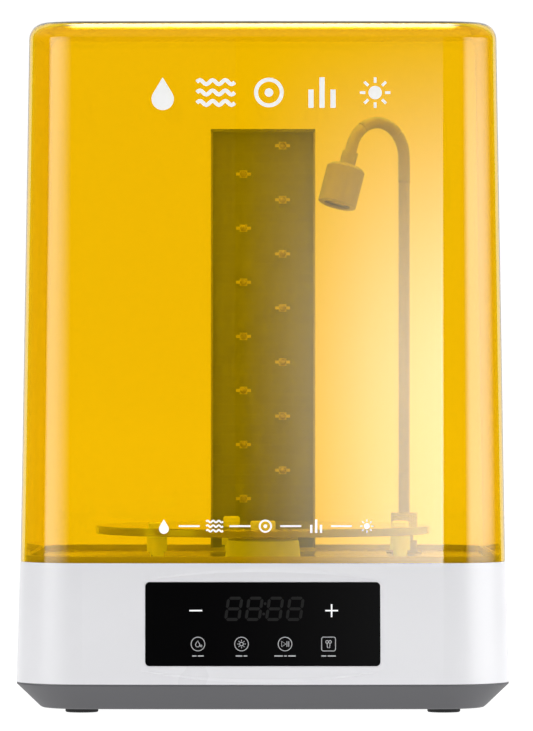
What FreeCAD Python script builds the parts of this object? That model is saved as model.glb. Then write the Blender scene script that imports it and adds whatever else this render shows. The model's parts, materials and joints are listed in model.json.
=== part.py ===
"""A wash-and-cure station for resin prints, as a FreeCAD document of separate pieces.

The frame stands on z = 0 with the front towards -Y and +X to the right, seen from the front.
A white base with a dark pan carries the motor, the boards and a touch panel. On its deck stand an
LED column, a flexible lamp and a lift-off turntable with its own gears, under a clear amber hood.
"""
import FreeCAD
import Part
import math
import os

import Sketcher
from FreeCAD import Placement, Rotation, Vector

# Driving dimensions: millimetres and degrees.
SIZES = {
    # outer form
    "half_width": 152.2, "half_depth": 131.8, "corner": 42.0, "front_arc": 2400.0,
    "height": 431.5, "seam": 19.0, "parting": 94.2, "shell_draft": 1.8, "shell_wall": 2.5,
    "hood_draft": 0.95, "hood_wall": 2.8, "hood_edge": 10.5, "hood_step": 0.2,
    "gate_radius": 15.0, "gate_depth": 0.4,
    # lip, deck and its seal
    "lip_inset": 3.6, "lip_thick": 2.2, "lip_top": 98.3, "ledge_inset": 18.0, "ledge_under": 88.6,
    "ledge_top": 91.2, "deck_under": 92.0, "deck_top": 94.5, "deck_gap": 0.3, "key_radius": 1.5,
    "key_circle": 17.0, "key_high": 0.7,
    # pan, feet and the posts between pan and shell
    "pan_under": 2.8, "pan_floor": 2.5, "pan_band": 1.2, "pan_slope": 46.5, "pan_edge": 4.0,
    "pan_step": 0.3, "foot_radius": 10.3, "foot_high": 3.6, "foot_x": 113.3, "foot_y": 92.0,
    "foot_round": 0.6, "post_x": 126.0, "post_y": 104.0, "post_radius": 5.5, "post_split": 9.5,
    "recess_top": 6.5, "recess_radius": 3.4, "vent_wide": 2.6, "vent_long": 34.0, "vent_pitch": 7.0,
    "vent_y": -70.0,
    # the one screw used throughout
    "screw_radius": 1.5, "screw_long": 8.0, "screw_head": 2.8, "screw_head_high": 1.8,
    "screw_pilot": 1.6, "screw_clear": 1.7,
    # touch panel: heights are measured up the tilted front from its middle
    "panel_z": 56.5, "panel_wide": 145.7, "panel_high": 51.9, "panel_thick": 1.6, "panel_corner": 2.5,
    "panel_fit": 0.25, "facet_depth": 1.2, "facet_wide": 150.0, "facet_top": 27.1,
    "facet_foot": -29.1, "facet_rise": 5.2, "facet_lean": 60.0, "frame_back": 5.0, "frame_wide": 157.0,
    "frame_high": 62.0, "window_wide": 132.0, "window_high": 40.0, "window_round": 3.0,
    "touch_board_top": 9.4, "touch_board_thick": 1.2, "touch_board_wide": 146.0,
    "touch_board_high": 52.0, "touch_post_x": 70.0, "touch_post_y": 23.0, "digits_wide": 50.3,
    "digits_high": 19.0, "digits_y": 9.5, "icon_pitch": 27.0, "icon_y": -12.5, "minus_x": -41.6,
    "plus_x": 42.7, "sign_y": 8.4, "pad_radius": 3.0, "pilot_floor": 2.2,
    # control board
    "board_under": 14.5, "board_thick": 1.6, "board_x": -78.0, "board_y": 40.0, "board_wide": 84.0,
    "board_deep": 62.0, "board_margin": 4.5, "header_back": 21.0, "header_high": 8.0, "standoff_radius": 3.4,
    # motor, its bracket and the driving disc under the deck
    "drive_y": -12.0, "motor_radius": 18.5, "motor_under": 45.0, "motor_top": 78.0,
    "motor_boss": 6.0, "motor_boss_high": 2.5, "motor_screw_x": 12.5, "bracket_thick": 1.5,
    "bracket_wide": 62.0, "bracket_deep": 44.0, "hanger_x": 26.0, "hanger_y": 17.0,
    "hanger_radius": 4.0, "shaft_radius": 2.5, "shaft_under": 66.0, "running_gap": 0.05,
    "drive_disc_radius": 20.0, "drive_disc_under": 88.3, "drive_disc_top": 91.5,
    "magnet_radius": 3.0, "magnet_circle": 14.0, "magnet_thick": 2.0,
    # turntable unit: housing, magnetic rotor and gears
    "unit_floor": 95.5, "unit_foot_radius": 24.0, "unit_top_radius": 22.9, "unit_top": 104.9,
    "unit_bore": 21.5, "unit_step_bore": 20.7, "rotor_radius": 20.2, "rotor_under": 95.8,
    "rotor_top": 98.3, "plate_under": 98.6, "plate_top": 99.8, "plate_hole": 4.5,
    "axle_radius": 1.5, "axle_top": 114.4, "gear_module": 0.6, "gear_under": 100.1,
    "gear_step": 102.2, "gear_top": 104.8, "idler_circle": 11.7, "idler_pin": 1.0,
    "ring_under": 102.5, "ring_radius": 18.5, "table_hub_under": 105.2, "table_hub_radius": 22.4,
    # turntable and its three wheeled feet
    "disc_under": 109.7, "disc_top": 114.7, "disc_radius": 106.5, "disc_edge": 0.5,
    "bush_radius": 3.0, "cap_radius": 8.0, "cap_high": 2.8, "wheel_circle": 91.0,
    "wheel_radius": 2.6, "wheel_wide": 3.0, "wheel_z": 97.2, "wheel_axle": 0.75,
    "wheel_slot": 3.6, "foot_body_radius": 6.3, "foot_body_under": 99.6, "prong_radius": 4.4,
    "prong_under": 95.9, "foot_stud": 3.0, "foot_stud_top": 116.5, "foot_cap_radius": 5.4,
    "foot_cap_top": 118.2, "first_foot": -17.0,
    # LED column
    "column_half": 34.2, "column_front": 99.5, "column_back": 121.5, "column_side": 1.3,
    "column_rear": 1.8, "column_under": 97.0, "column_top": 369.0, "column_cap": 2.0,
    "column_post_x": 22.0, "column_post_y": 109.0, "rib_x": 28.0,
    "rib_wide": 3.0, "led_board_front": 104.0, "led_board_thick": 1.6, "led_x": 12.8,
    "led_first": 360.2, "led_left_drop": 18.6, "led_pitch": 35.43, "led_size": 5.0, "led_thick": 1.4,
    "led_dome": 2.1, "led_lead_long": 2.4, "led_lead_wide": 2.0, "led_lead_thick": 0.35,
    # lamp: pole, bending neck and head
    "lamp_x": 91.5, "lamp_y": 62.0, "lamp_turn": 219.0, "neck_radius": 3.6, "neck_bore": 1.6,
    "arch_radius": 22.5, "arch_z": 351.0, "arch_end": 18.5, "ball_radius": 3.0, "cup_radius": 3.08,
    "gap_radius": 4.9, "stem_radius": 1.9, "stem_long": 6.0, "socket_flange": 11.5,
    "socket_flange_top": 95.7, "socket_radius": 8.4, "socket_top": 103.0, "socket_floor": 96.5,
    "plug_pin": 4.0, "plug_pin_under": 96.9, "plug_under": 103.3, "plug_radius": 6.0,
    "pole_under": 105.0, "plug_top": 112.0, "lamp_nut_radius": 8.6, "lamp_nut_top": 121.0,
    "knurl_radius": 0.45, "sleeve_thin": 4.5, "sleeve_end": 14.4, "sleeve_radius": 5.1,
    "head_radius": 12.4, "head_bevel": 2.0, "head_wall": 1.4, "head_seam": 28.9, "head_end": 40.4,
    "head_lens_radius": 8.6, "head_lens_under": 37.6, "head_lens_top": 39.2,
    "head_board_under": 33.0, "head_board_top": 34.6, "head_led_high": 1.6,
    # rear: power socket and switch
    "rear_flat": 130.0, "switch_x": 96.0, "socket_x": 62.0, "rear_z": 48.0, "flat_half": 14.0,
    "switch_wide": 15.0, "switch_high": 21.0, "switch_rim": 2.0, "switch_neck": 0.8,
    "switch_deep": 16.0, "rocker_wide": 10.6, "rocker_gap": 0.3, "rocker_round": 7.6,
    "rocker_pin": 1.0, "rocker_pin_half": 6.6, "rocker_tilt": 10.0, "jack_radius": 4.0,
    "jack_flange": 5.8, "jack_flange_thick": 1.5, "jack_bore": 2.9, "jack_bore_deep": 9.0,
    "jack_pin": 1.0, "jack_deep": 14.0, "wire_radius": 1.3, "cable_hole": 3.0,
}

doc = FreeCAD.newDocument("WashStation")
sheet = doc.addObject("Spreadsheet::Sheet", "Dimensions")
for row, (alias, number) in enumerate(SIZES.items(), start=1):
    sheet.set(f"A{row}", alias)
    sheet.set(f"B{row}", str(number))
    sheet.setAlias(f"B{row}", alias)
doc.recompute()

sub_parts = []


# ---------------------------------------------------------------- helpers

def size(alias):
    """The number in the sheet's cell of that alias."""
    return float(sheet.get(alias))


def bound(text):
    """An expression in which each alias is read from the sheet."""
    words = []
    word = ""
    for letter in text + " ":
        if letter.isalnum() or letter == "_":
            word += letter
            continue
        words.append(f"Dimensions.{word}" if word in SIZES else word)
        words.append(letter)
        word = ""
    return "".join(words).strip()


def keep(item, name):
    """Marks an object as a finished sub-part whose file is named after it."""
    item.Label = name
    sub_parts.append(item)
    return item


def solid(kind, at=("0", "0", "0"), turn=None, **sizes):
    """A Part primitive whose sizes and place are bound to the sheet."""
    item = doc.addObject(f"Part::{kind}", kind)
    if turn:
        item.Placement = Placement(Vector(), turn)
    for name, text in sizes.items():
        item.setExpression(name, bound(text))
    for axis, text in zip("xyz", at):
        item.setExpression(f"Placement.Base.{axis}", bound(text))
    return item


def box(x, y, z, wide, deep, high):
    """A box from its lowest corner."""
    return solid("Box", (x, y, z), Length=wide, Width=deep, Height=high)


def centred_box(x, y, z, wide, deep, high):
    """A box centred on x and y, standing on z."""
    return box(f"{x} - ({wide}) / 2", f"{y} - ({deep}) / 2", z, wide, deep, high)


def rod(x, y, z, radius, high):
    return solid("Cylinder", (x, y, z), Radius=radius, Height=high)


def cut(base, *tools):
    for tool in tools:
        item = doc.addObject("Part::Cut", "Cut")
        item.Base = base
        item.Tool = tool
        base = item
    return base


def fuse(*parts):
    item = doc.addObject("Part::MultiFuse", "Fusion")
    item.Shapes = list(parts)
    item.Refine = True
    return item


def group(*parts):
    """Separate solids that share one node."""
    item = doc.addObject("Part::Compound", "Group")
    item.Links = list(parts)
    return item


def made(shape, place=None):
    """A shape that neither a sketch nor a primitive describes."""
    item = doc.addObject("Part::Feature", "Made")
    item.Shape = shape
    if place:
        item.Placement = place
    return item


def new_body():
    return doc.addObject("PartDesign::Body", "Body")


def sketch_on(body, role, height="0"):
    """A sketch on one of the body's own origin planes, lifted off it by height."""
    sketch = body.newObject("Sketcher::SketchObject", "Sketch")
    plane = next(item for item in body.Origin.OriginFeatures if item.Role == role)
    sketch.AttachmentSupport = (plane, [""])
    sketch.MapMode = "FlatFace"
    sketch.setExpression("AttachmentOffset.Base.z", bound(height))
    return sketch


def dimension(sketch, constraint, name, text):
    index = sketch.addConstraint(constraint)
    sketch.renameConstraint(index, name)
    sketch.setExpression(f"Constraints.{name}", bound(text))


def outline(body, height, inset):
    """The station's plan form, drawn in by inset: a rounded rectangle with a slightly bowed front."""
    sketch = sketch_on(body, "XY_Plane", height)
    half_wide = size("half_width")
    half_deep = size("half_depth")
    radius = size("corner")
    bow = size("front_arc")
    bow_y = bow - half_deep
    corner_x = half_wide - radius
    corner_y = bow_y - math.sqrt((bow - radius) ** 2 - corner_x ** 2)
    lean = math.atan2(corner_y - bow_y, corner_x)

    def arc(x, y, r, first, last):
        circle = Part.Circle(Vector(x, y, 0), Vector(0, 0, 1), r)
        return Part.ArcOfCircle(circle, first, last)

    def line(x1, y1, x2, y2):
        return Part.LineSegment(Vector(x1, y1, 0), Vector(x2, y2, 0))

    rear_y = half_deep - radius
    sketch.addGeometry([
        line(half_wide, corner_y, half_wide, rear_y),
        arc(corner_x, rear_y, radius, 0, math.pi / 2),
        line(corner_x, half_deep, -corner_x, half_deep),
        arc(-corner_x, rear_y, radius, math.pi / 2, math.pi),
        line(-half_wide, rear_y, -half_wide, corner_y),
        arc(-corner_x, corner_y, radius, math.pi, math.pi - lean),
        arc(0, bow_y, bow, math.pi - lean, 2 * math.pi + lean),
        arc(corner_x, corner_y, radius, 2 * math.pi + lean, 2 * math.pi),
    ], False)
    rules = [Sketcher.Constraint("Tangent", k, 2, (k + 1) % 8, 1) for k in range(8)]
    rules += [Sketcher.Constraint("Equal", 1, k) for k in (3, 5, 7)]
    rules += [
        Sketcher.Constraint("Vertical", 0),
        Sketcher.Constraint("Horizontal", 2),
        Sketcher.Constraint("Vertical", 4),
        Sketcher.Constraint("PointOnObject", 6, 3, -2),
    ]
    sketch.addConstraint(rules)
    reach = Sketcher.Constraint
    dimension(sketch, reach("DistanceX", -1, 1, 0, 1, half_wide), "right", f"half_width - ({inset})")
    dimension(sketch, reach("DistanceX", 4, 1, -1, 1, half_wide), "left", f"half_width - ({inset})")
    dimension(sketch, reach("DistanceY", -1, 1, 2, 1, half_deep), "rear", f"half_depth - ({inset})")
    dimension(sketch, reach("Radius", 1, radius), "corner", f"corner - ({inset})")
    dimension(sketch, reach("Radius", 6, bow), "bow", f"front_arc - ({inset})")
    dimension(sketch, reach("DistanceY", -1, 1, 6, 3, bow_y), "bow_centre", "front_arc - half_depth")
    return sketch


def polygon(sketch, points):
    """A closed outline whose corners are bound to the sheet; a corner on an axis is held to that axis."""
    count = len(points)
    first = sketch.GeometryCount
    start = [Vector(10 * math.cos(2 * math.pi * k / count), 10 * math.sin(2 * math.pi * k / count), 0)
             for k in range(count)]
    for k in range(count):
        sketch.addGeometry(Part.LineSegment(start[k], start[(k + 1) % count]), False)
    for k in range(count):
        sketch.addConstraint(Sketcher.Constraint("Coincident", first + k, 2, first + (k + 1) % count, 1))
    for k, (x, y) in enumerate(points):
        for kind, text, value in (("X", x, start[k].x), ("Y", y, start[k].y)):
            rule = Sketcher.Constraint(f"Distance{kind}", -1, 1, first + k, 1, value)
            dimension(sketch, rule, f"corner{first + k}{kind}", text)
    return sketch


def circle(sketch, x, y, radius):
    index = sketch.addGeometry(Part.Circle(Vector(1, 1, 0), Vector(0, 0, 1), 1), False)
    reach = Sketcher.Constraint
    dimension(sketch, reach("DistanceX", -1, 1, index, 3, 1), f"x{index}", x)
    dimension(sketch, reach("DistanceY", -1, 1, index, 3, 1), f"y{index}", y)
    dimension(sketch, reach("Radius", index, 1), f"radius{index}", radius)
    return sketch


def rounded_rectangle(sketch, wide, high, radius, grow="0"):
    """A rectangle with round corners about the sketch's origin, grown on all sides."""
    half_x = size(wide) / 2
    half_y = size(high) / 2
    r = size(radius)
    for k, (sx, sy) in enumerate(((1, 1), (-1, 1), (-1, -1), (1, -1))):
        disc = Part.Circle(Vector(sx * (half_x - r), sy * (half_y - r), 0), Vector(0, 0, 1), r)
        arc = Part.ArcOfCircle(disc, math.radians(90 * k), math.radians(90 * k + 90))
        sketch.addGeometry(arc, False)
    ends = (((half_x - r, half_y), (r - half_x, half_y)), ((-half_x, half_y - r), (-half_x, r - half_y)),
            ((r - half_x, -half_y), (half_x - r, -half_y)), ((half_x, r - half_y), (half_x, half_y - r)))
    for (x1, y1), (x2, y2) in ends:
        sketch.addGeometry(Part.LineSegment(Vector(x1, y1, 0), Vector(x2, y2, 0)), False)
    for k in range(4):
        sketch.addConstraint(Sketcher.Constraint("Tangent", k, 2, 4 + k, 1))
        sketch.addConstraint(Sketcher.Constraint("Tangent", 4 + k, 2, (k + 1) % 4, 1))
    for k in (1, 2, 3):
        sketch.addConstraint(Sketcher.Constraint("Equal", 0, k))
    sketch.addConstraint(Sketcher.Constraint("Horizontal", 4))
    sketch.addConstraint(Sketcher.Constraint("Vertical", 5))
    reach = Sketcher.Constraint
    dimension(sketch, reach("Radius", 0, r), "round", f"{radius} + {grow}")
    dimension(sketch, reach("DistanceX", -1, 1, 7, 1, half_x), "right", f"{wide} / 2 + {grow}")
    dimension(sketch, reach("DistanceX", 5, 1, -1, 1, half_x), "left", f"{wide} / 2 + {grow}")
    dimension(sketch, reach("DistanceY", -1, 1, 4, 1, half_y), "top", f"{high} / 2 + {grow}")
    dimension(sketch, reach("DistanceY", 6, 1, -1, 1, half_y), "foot", f"{high} / 2 + {grow}")
    return sketch


def pad(body, sketch, length, taper=None, reverse=False):
    item = body.newObject("PartDesign::Pad", "Pad")
    item.Profile = sketch
    item.Reversed = reverse
    item.setExpression("Length", bound(length))
    if taper:
        item.setExpression("TaperAngle", bound(taper))
    doc.recompute()
    return item


def pocket(body, sketch, length, taper=None, reverse=False):
    before = body.Shape.Volume
    item = body.newObject("PartDesign::Pocket", "Pocket")
    item.Profile = sketch
    item.Reversed = reverse
    item.setExpression("Length", bound(length))
    if taper:
        item.setExpression("TaperAngle", bound(taper))
    doc.recompute()
    if body.Shape.Volume >= before - 1e-6:
        raise RuntimeError(f"{item.Name} in {body.Label} cut nothing")
    return item


def revolved(points, place=None):
    """A body turned about Z from a profile of (radius, height) corners."""
    body = new_body()
    sketch = polygon(sketch_on(body, "XZ_Plane"), points)
    turned = body.newObject("PartDesign::Revolution", "Revolution")
    turned.Profile = sketch
    turned.ReferenceAxis = (sketch, ["V_Axis"])
    turned.Angle = 360.0
    doc.recompute()
    if place:
        body.Placement = place
    return body


def rounded(body, feature, edges, radius, kind="Fillet"):
    item = body.newObject(f"PartDesign::{kind}", kind)
    item.Base = (feature, edges)
    item.setExpression("Radius" if kind == "Fillet" else "Size", bound(radius))
    doc.recompute()
    return item


def edges_at(shape, height, reach=1e-3):
    """Names of the edges that lie flat at that height."""
    return [f"Edge{k + 1}" for k, edge in enumerate(shape.Edges)
            if abs(edge.BoundBox.ZMin - height) < reach and abs(edge.BoundBox.ZMax - height) < reach]


def around(radius, count, first=0.0):
    """Points on a circle about the drive's axis, with their angles in degrees."""
    for k in range(count):
        angle = first + 360.0 * k / count
        yield (f"{radius} * cos({angle})", f"drive_y + {radius} * sin({angle})", angle)


def screw(x, y, z, up=True):
    """The common screw, its head's bearing face at z and its shank pointing up or down."""
    shank_z = z if up else f"{z} - screw_long"
    head_z = f"{z} - screw_head_high" if up else z
    return fuse(rod(x, y, shank_z, "screw_radius", "screw_long"),
                rod(x, y, head_z, "screw_head", "screw_head_high"))


def four(x, y):
    """The four places at plus and minus x and y."""
    for across in ("", "-"):
        for along in ("", "-"):
            yield f"{across}{x}", f"{along}{y}"


def gear(teeth, extra=0.0):
    """A spur gear's outline: involute flanks with a pressure angle of 25 degrees.

    Positive extra thickens the teeth and deepens the tips, for cutting an internal gear.
    """
    module = size("gear_module")
    pitch = module * teeth / 2
    base = pitch * math.cos(math.radians(25))
    tip = pitch + (0.9 if extra <= 0 else 1.25) * module
    root = pitch - (1.25 if extra <= 0 else 0.9) * module
    play = 0.09 if extra <= 0 else -0.09

    def roll(radius):
        angle = math.acos(min(1.0, base / radius))
        return math.tan(angle) - angle

    half = math.pi / (2 * teeth) - play / (2 * pitch) + roll(pitch)
    start = max(base, root)
    radii = [start + (tip - start) * k / 5 for k in range(6)]
    flank = [(r, half - roll(r)) for r in radii]
    if root < base:
        flank.insert(0, (root, half))
    points = []
    for k in range(teeth):
        middle = 2 * math.pi * k / teeth
        points += [(r, middle - turn) for r, turn in flank]
        points += [(r, middle + turn) for r, turn in reversed(flank)]
    corners = [Vector(r * math.cos(t), r * math.sin(t), 0) for r, t in points]
    return Part.Face(Part.makePolygon(corners + corners[:1]))


def toothed(teeth, low, high, turn=0.0, extra=0.0):
    """A gear between two heights on the sheet, turned about its own axis by turn degrees."""
    face = gear(teeth, extra)
    face.rotate(Vector(), Vector(0, 0, 1), turn)
    face.translate(Vector(0, 0, size(low)))
    return face.extrude(Vector(0, 0, size(high) - size(low)))


def cable(points):
    """A wire bundle run through points with round bends."""
    radius = size("wire_radius")
    runs = []
    for start, end in zip(points, points[1:]):
        way = Vector(*end) - Vector(*start)
        runs.append(Part.makeCylinder(radius, way.Length, Vector(*start), way))
    balls = [Part.makeSphere(radius, Vector(*point)) for point in points[1:-1]]
    return runs[0].multiFuse(runs[1:] + balls)


# ---------------------------------------------------------------- pan and feet

widening = "(parting - seam) * tan(shell_draft)"
pan_inset = f"pan_step - {widening}"

pan_form = new_body()
pad(pan_form, outline(pan_form, "seam", pan_inset), "pan_band", reverse=True)
slope = pad(pan_form, outline(pan_form, "seam - pan_band", pan_inset),
            "seam - pan_band - pan_under", "-pan_slope", reverse=True)
rounded(pan_form, slope, edges_at(slope.Shape, size("pan_under")), "pan_edge")

pan_hollow = new_body()
hollow_inset = f"{pan_inset} + pan_floor / cos(pan_slope)"
pad(pan_hollow, outline(pan_hollow, "seam - pan_band", hollow_inset), "pan_band + 1")
pad(pan_hollow, outline(pan_hollow, "seam - pan_band", hollow_inset),
    "seam - pan_band - pan_under - pan_floor", "-pan_slope", reverse=True)

pan_posts = [rod(x, y, "pan_under + 1", "post_radius", "post_split - pan_under - 1")
             for x, y in four("post_x", "post_y")]
board_corner = ("board_wide / 2 - board_margin", "board_deep / 2 - board_margin")
board_holes = [(f"board_x + {x}", f"board_y + {y}")
               for x, y in four(f"({board_corner[0]})", f"({board_corner[1]})")]
standoffs = [rod(x, y, "pan_under + 1", "standoff_radius", "board_under - pan_under - 1")
             for x, y in board_holes]
pan_cuts = []
for x, y in four("post_x", "post_y"):
    pan_cuts.append(rod(x, y, "pan_under - 1", "recess_radius", "recess_top - pan_under + 1"))
    pan_cuts.append(rod(x, y, "recess_top - 1", "screw_clear", "post_split"))
for x, y in four("foot_x", "foot_y"):
    pan_cuts.append(rod(x, y, "0", "foot_radius", "foot_high"))
for x, y in board_holes:
    pan_cuts.append(rod(x, y, "board_under - screw_long", "screw_pilot", "screw_long + 1"))
for k in range(-3, 4):
    pan_cuts.append(centred_box(f"{k} * vent_pitch", "vent_y", "0", "vent_wide", "vent_long",
                                "pan_under + pan_floor + 1"))
pan_body = cut(pan_form, pan_hollow)
keep(cut(fuse(pan_body, *pan_posts, *standoffs), fuse(*pan_cuts)), "bottom_pan")

foot_profile = [("0", "0.4"), ("foot_radius - 3.2", "0.4"), ("foot_radius - 2.6", "0"),
                ("foot_radius - foot_round", "0"), ("foot_radius", "foot_round"),
                ("foot_radius", "foot_high"), ("0", "foot_high")]
feet = []
for x, y in four("foot_x", "foot_y"):
    foot = revolved(foot_profile)
    foot.setExpression("Placement.Base.x", bound(x))
    foot.setExpression("Placement.Base.y", bound(y))
    feet.append(foot)
keep(group(*feet), "rubber_feet")

# ---------------------------------------------------------------- base shell

shell_form = new_body()
pad(shell_form, outline(shell_form, "parting", "0"), "parting - seam", "shell_draft", reverse=True)
pad(shell_form, outline(shell_form, "parting", "lip_inset"), "lip_top - parting")
pocket(shell_form, outline(shell_form, "lip_top", "lip_inset + lip_thick"), "lip_top - ledge_top")
pocket(shell_form, outline(shell_form, "ledge_top", "ledge_inset"), "ledge_top - ledge_under")

shell_hollow = new_body()
hollow_wall = "shell_wall - (parting - ledge_under) * tan(shell_draft)"
pad(shell_hollow, outline(shell_hollow, "ledge_under", hollow_wall), "ledge_under - seam + 0.001",
    "shell_draft", reverse=True)

shell_posts = [rod(x, y, "post_split", "post_radius", "ledge_under - post_split + 1")
               for x, y in four("post_x", "post_y")]

# The touch panel's parts are drawn about the origin with z pointing out of the front,
# then stood up on the drafted face.
front_y = "half_depth + (parting - panel_z) * tan(shell_draft) - facet_depth"
facing = Rotation(Vector(1, 0, 0), 90 - size("shell_draft"))


def on_front(item):
    item.Placement = Placement(Vector(), facing)
    item.setExpression("Placement.Base.y", bound(f"-({front_y})"))
    item.setExpression("Placement.Base.z", bound("panel_z"))
    return item


facet = new_body()
facet_sketch = sketch_on(facet, "XY_Plane")
half = size("facet_wide") / 2
top = size("facet_top")
low = size("facet_foot")
rise = size("facet_rise")
top_arc = Part.Arc(Vector(half, top, 0), Vector(0, top + rise, 0), Vector(-half, top, 0))
low_arc = Part.Arc(Vector(-half, low, 0), Vector(0, low - rise, 0), Vector(half, low, 0))
facet_sketch.addGeometry([Part.LineSegment(Vector(half, low, 0), Vector(half, top, 0)), top_arc,
                          Part.LineSegment(Vector(-half, top, 0), Vector(-half, low, 0)), low_arc], False)
for pair in ((0, 2, 1, 1), (1, 2, 2, 1), (2, 2, 3, 1), (3, 2, 0, 1)):
    facet_sketch.addConstraint(Sketcher.Constraint("Coincident", *pair))
facet_sketch.addConstraint(Sketcher.Constraint("PointOnObject", 1, 3, -2))
facet_sketch.addConstraint(Sketcher.Constraint("PointOnObject", 3, 3, -2))
facet_sketch.addConstraint(Sketcher.Constraint("Vertical", 0))
dimension(facet_sketch, Sketcher.Constraint("DistanceX", -1, 1, 0, 1, half), "right", "facet_wide / 2")
dimension(facet_sketch, Sketcher.Constraint("DistanceY", -1, 1, 0, 2, top), "top", "facet_top")
dimension(facet_sketch, Sketcher.Constraint("DistanceY", -1, 1, 0, 1, low), "foot", "facet_foot")
arc_radius = "(facet_wide * facet_wide / 4 + facet_rise * facet_rise) / (2 * facet_rise)"
for index, name in ((1, "top_arc"), (3, "low_arc")):
    rule = Sketcher.Constraint("Radius", index, (half ** 2 + rise ** 2) / (2 * rise))
    dimension(facet_sketch, rule, name, arc_radius)
pad(facet, facet_sketch, "4", "facet_lean")
on_front(facet)

panel_seat = new_body()
pad(panel_seat, rounded_rectangle(sketch_on(panel_seat, "XY_Plane", "-panel_thick"), "panel_wide",
                                  "panel_high", "panel_corner", "panel_fit"), "panel_thick + 3")
on_front(panel_seat)
window = new_body()
pad(window, rounded_rectangle(sketch_on(window, "XY_Plane", "-frame_back - 8"), "window_wide",
                              "window_high", "window_round"), "frame_back + 10")
on_front(window)
frame_depth = "frame_back - 0.6"
frame = on_front(fuse(
    centred_box("0", "0", "-frame_back", "frame_wide", "frame_high", frame_depth),
    *[rod(x, y, "-touch_board_top", "2.8", "touch_board_top - 1") for x, y in
      four("touch_post_x", "touch_post_y")]))
frame_pilots = on_front(fuse(*[rod(x, y, "-touch_board_top - 1", "screw_pilot",
                                   "touch_board_top + 1 - pilot_floor")
                               for x, y in four("touch_post_x", "touch_post_y")]))

rear_cuts = [
    box("socket_x - flat_half", "rear_flat", "rear_z - flat_half",
        "switch_x - socket_x + 2 * flat_half", "8", "2 * flat_half"),
    centred_box("switch_x", "rear_flat - 2", "rear_z - switch_high / 2 + switch_neck",
                "switch_wide - 2 * switch_neck", "12", "switch_high - 2 * switch_neck"),
    solid("Cylinder", ("socket_x", "rear_flat + 4", "rear_z"), Rotation(Vector(1, 0, 0), 90),
          Radius="jack_radius", Height="12"),
]
rear_backing = box("socket_x - flat_half - 2", "rear_flat - 2.5", "rear_z - flat_half - 2",
                   "switch_x - socket_x + 2 * flat_half + 4", "4", "2 * flat_half + 4")
post_pilots = [rod(x, y, "post_split - 1", "screw_pilot", "screw_long + 1")
               for x, y in four("post_x", "post_y")]
shell_body = cut(shell_form, shell_hollow, facet)
keep(cut(fuse(shell_body, frame, rear_backing, *shell_posts), panel_seat, window, frame_pilots,
         fuse(*rear_cuts), fuse(*post_pilots)), "base_shell")

# ---------------------------------------------------------------- touch panel

glass = new_body()
glass_pad = pad(glass, rounded_rectangle(sketch_on(glass, "XY_Plane", "-panel_thick"), "panel_wide",
                                         "panel_high", "panel_corner"), "panel_thick")
rounded(glass, glass_pad, edges_at(glass_pad.Shape, 0.0), "0.3", "Chamfer")
keep(on_front(glass), "control_panel")

touch_board = cut(
    centred_box("0", "0", "-touch_board_top - touch_board_thick", "touch_board_wide",
                "touch_board_high", "touch_board_thick"),
    fuse(*[rod(x, y, "-touch_board_top - 4", "screw_clear", "6")
           for x, y in four("touch_post_x", "touch_post_y")]))
keep(on_front(touch_board), "display_board")

digits = centred_box("1", "digits_y", "-touch_board_top",
                     "digits_wide", "digits_high", "touch_board_top - panel_thick")
keep(on_front(group(digits)), "display_module")

keys = [(f"{place} * icon_pitch", "icon_y") for place in (-1.5, -0.5, 0.5, 1.5)]
keys += [("minus_x", "sign_y"), ("plus_x", "sign_y")]
keep(on_front(group(*[rod(x, y, "-touch_board_top", "pad_radius", "touch_board_top - panel_thick")
                      for x, y in keys])), "touch_pads")

# ---------------------------------------------------------------- deck and seal

deck_form = new_body()
deck_inset = "lip_inset + lip_thick + deck_gap"
pad(deck_form, outline(deck_form, "deck_under", deck_inset), "deck_top - deck_under")
hangers = []
hanger_pilots = []
bracket_top = "motor_top + bracket_thick"
for x, y in four("hanger_x", "hanger_y"):
    hangers.append(rod(x, f"drive_y + {y}", bracket_top, "hanger_radius",
                       f"deck_under + 1 - ({bracket_top})"))
    hanger_pilots.append(rod(x, f"drive_y + {y}", f"{bracket_top} - 1", "screw_pilot", "screw_long + 1"))
deck_keys = [rod(x, y, "deck_top - 1", "key_radius", "key_high + 1")
             for x, y, angle in around("key_circle", 3, 60.0)]
column_posts = (("column_post_x", "column_post_y"), ("-column_post_x", "column_post_y"))
deck_holes = [rod(x, y, "deck_under - 1", "screw_clear", "4") for x, y in column_posts]
deck_holes.append(rod("lamp_x", "lamp_y", "deck_under - 1", "cable_hole", "4"))
deck_holes.append(rod("0", "column_post_y", "deck_under - 1", "cable_hole", "4"))
keep(cut(fuse(deck_form, *hangers, *deck_keys), fuse(*deck_holes), fuse(*hanger_pilots)), "deck_plate")

seal = new_body()
pad(seal, outline(seal, "ledge_top", deck_inset), "deck_under - ledge_top")
pocket(seal, outline(seal, "deck_under", "ledge_inset"), "deck_under - ledge_top")
keep(seal, "deck_seal")

# ---------------------------------------------------------------- motor and driving disc

motor = cut(
    fuse(rod("0", "drive_y", "motor_under", "motor_radius", "motor_top - motor_under"),
         rod("0", "drive_y", "motor_under - 3", "6", "4"),
         rod("0", "drive_y", "motor_top - 1", "motor_boss", "motor_boss_high + 1")),
    rod("0", "drive_y", "shaft_under - 0.5", "shaft_radius + running_gap", "30"),
    *[rod(f"{side}motor_screw_x", "drive_y", f"{bracket_top} - screw_long - 0.5", "screw_pilot", "12")
      for side in ("", "-")])
keep(motor, "drive_motor")

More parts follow.
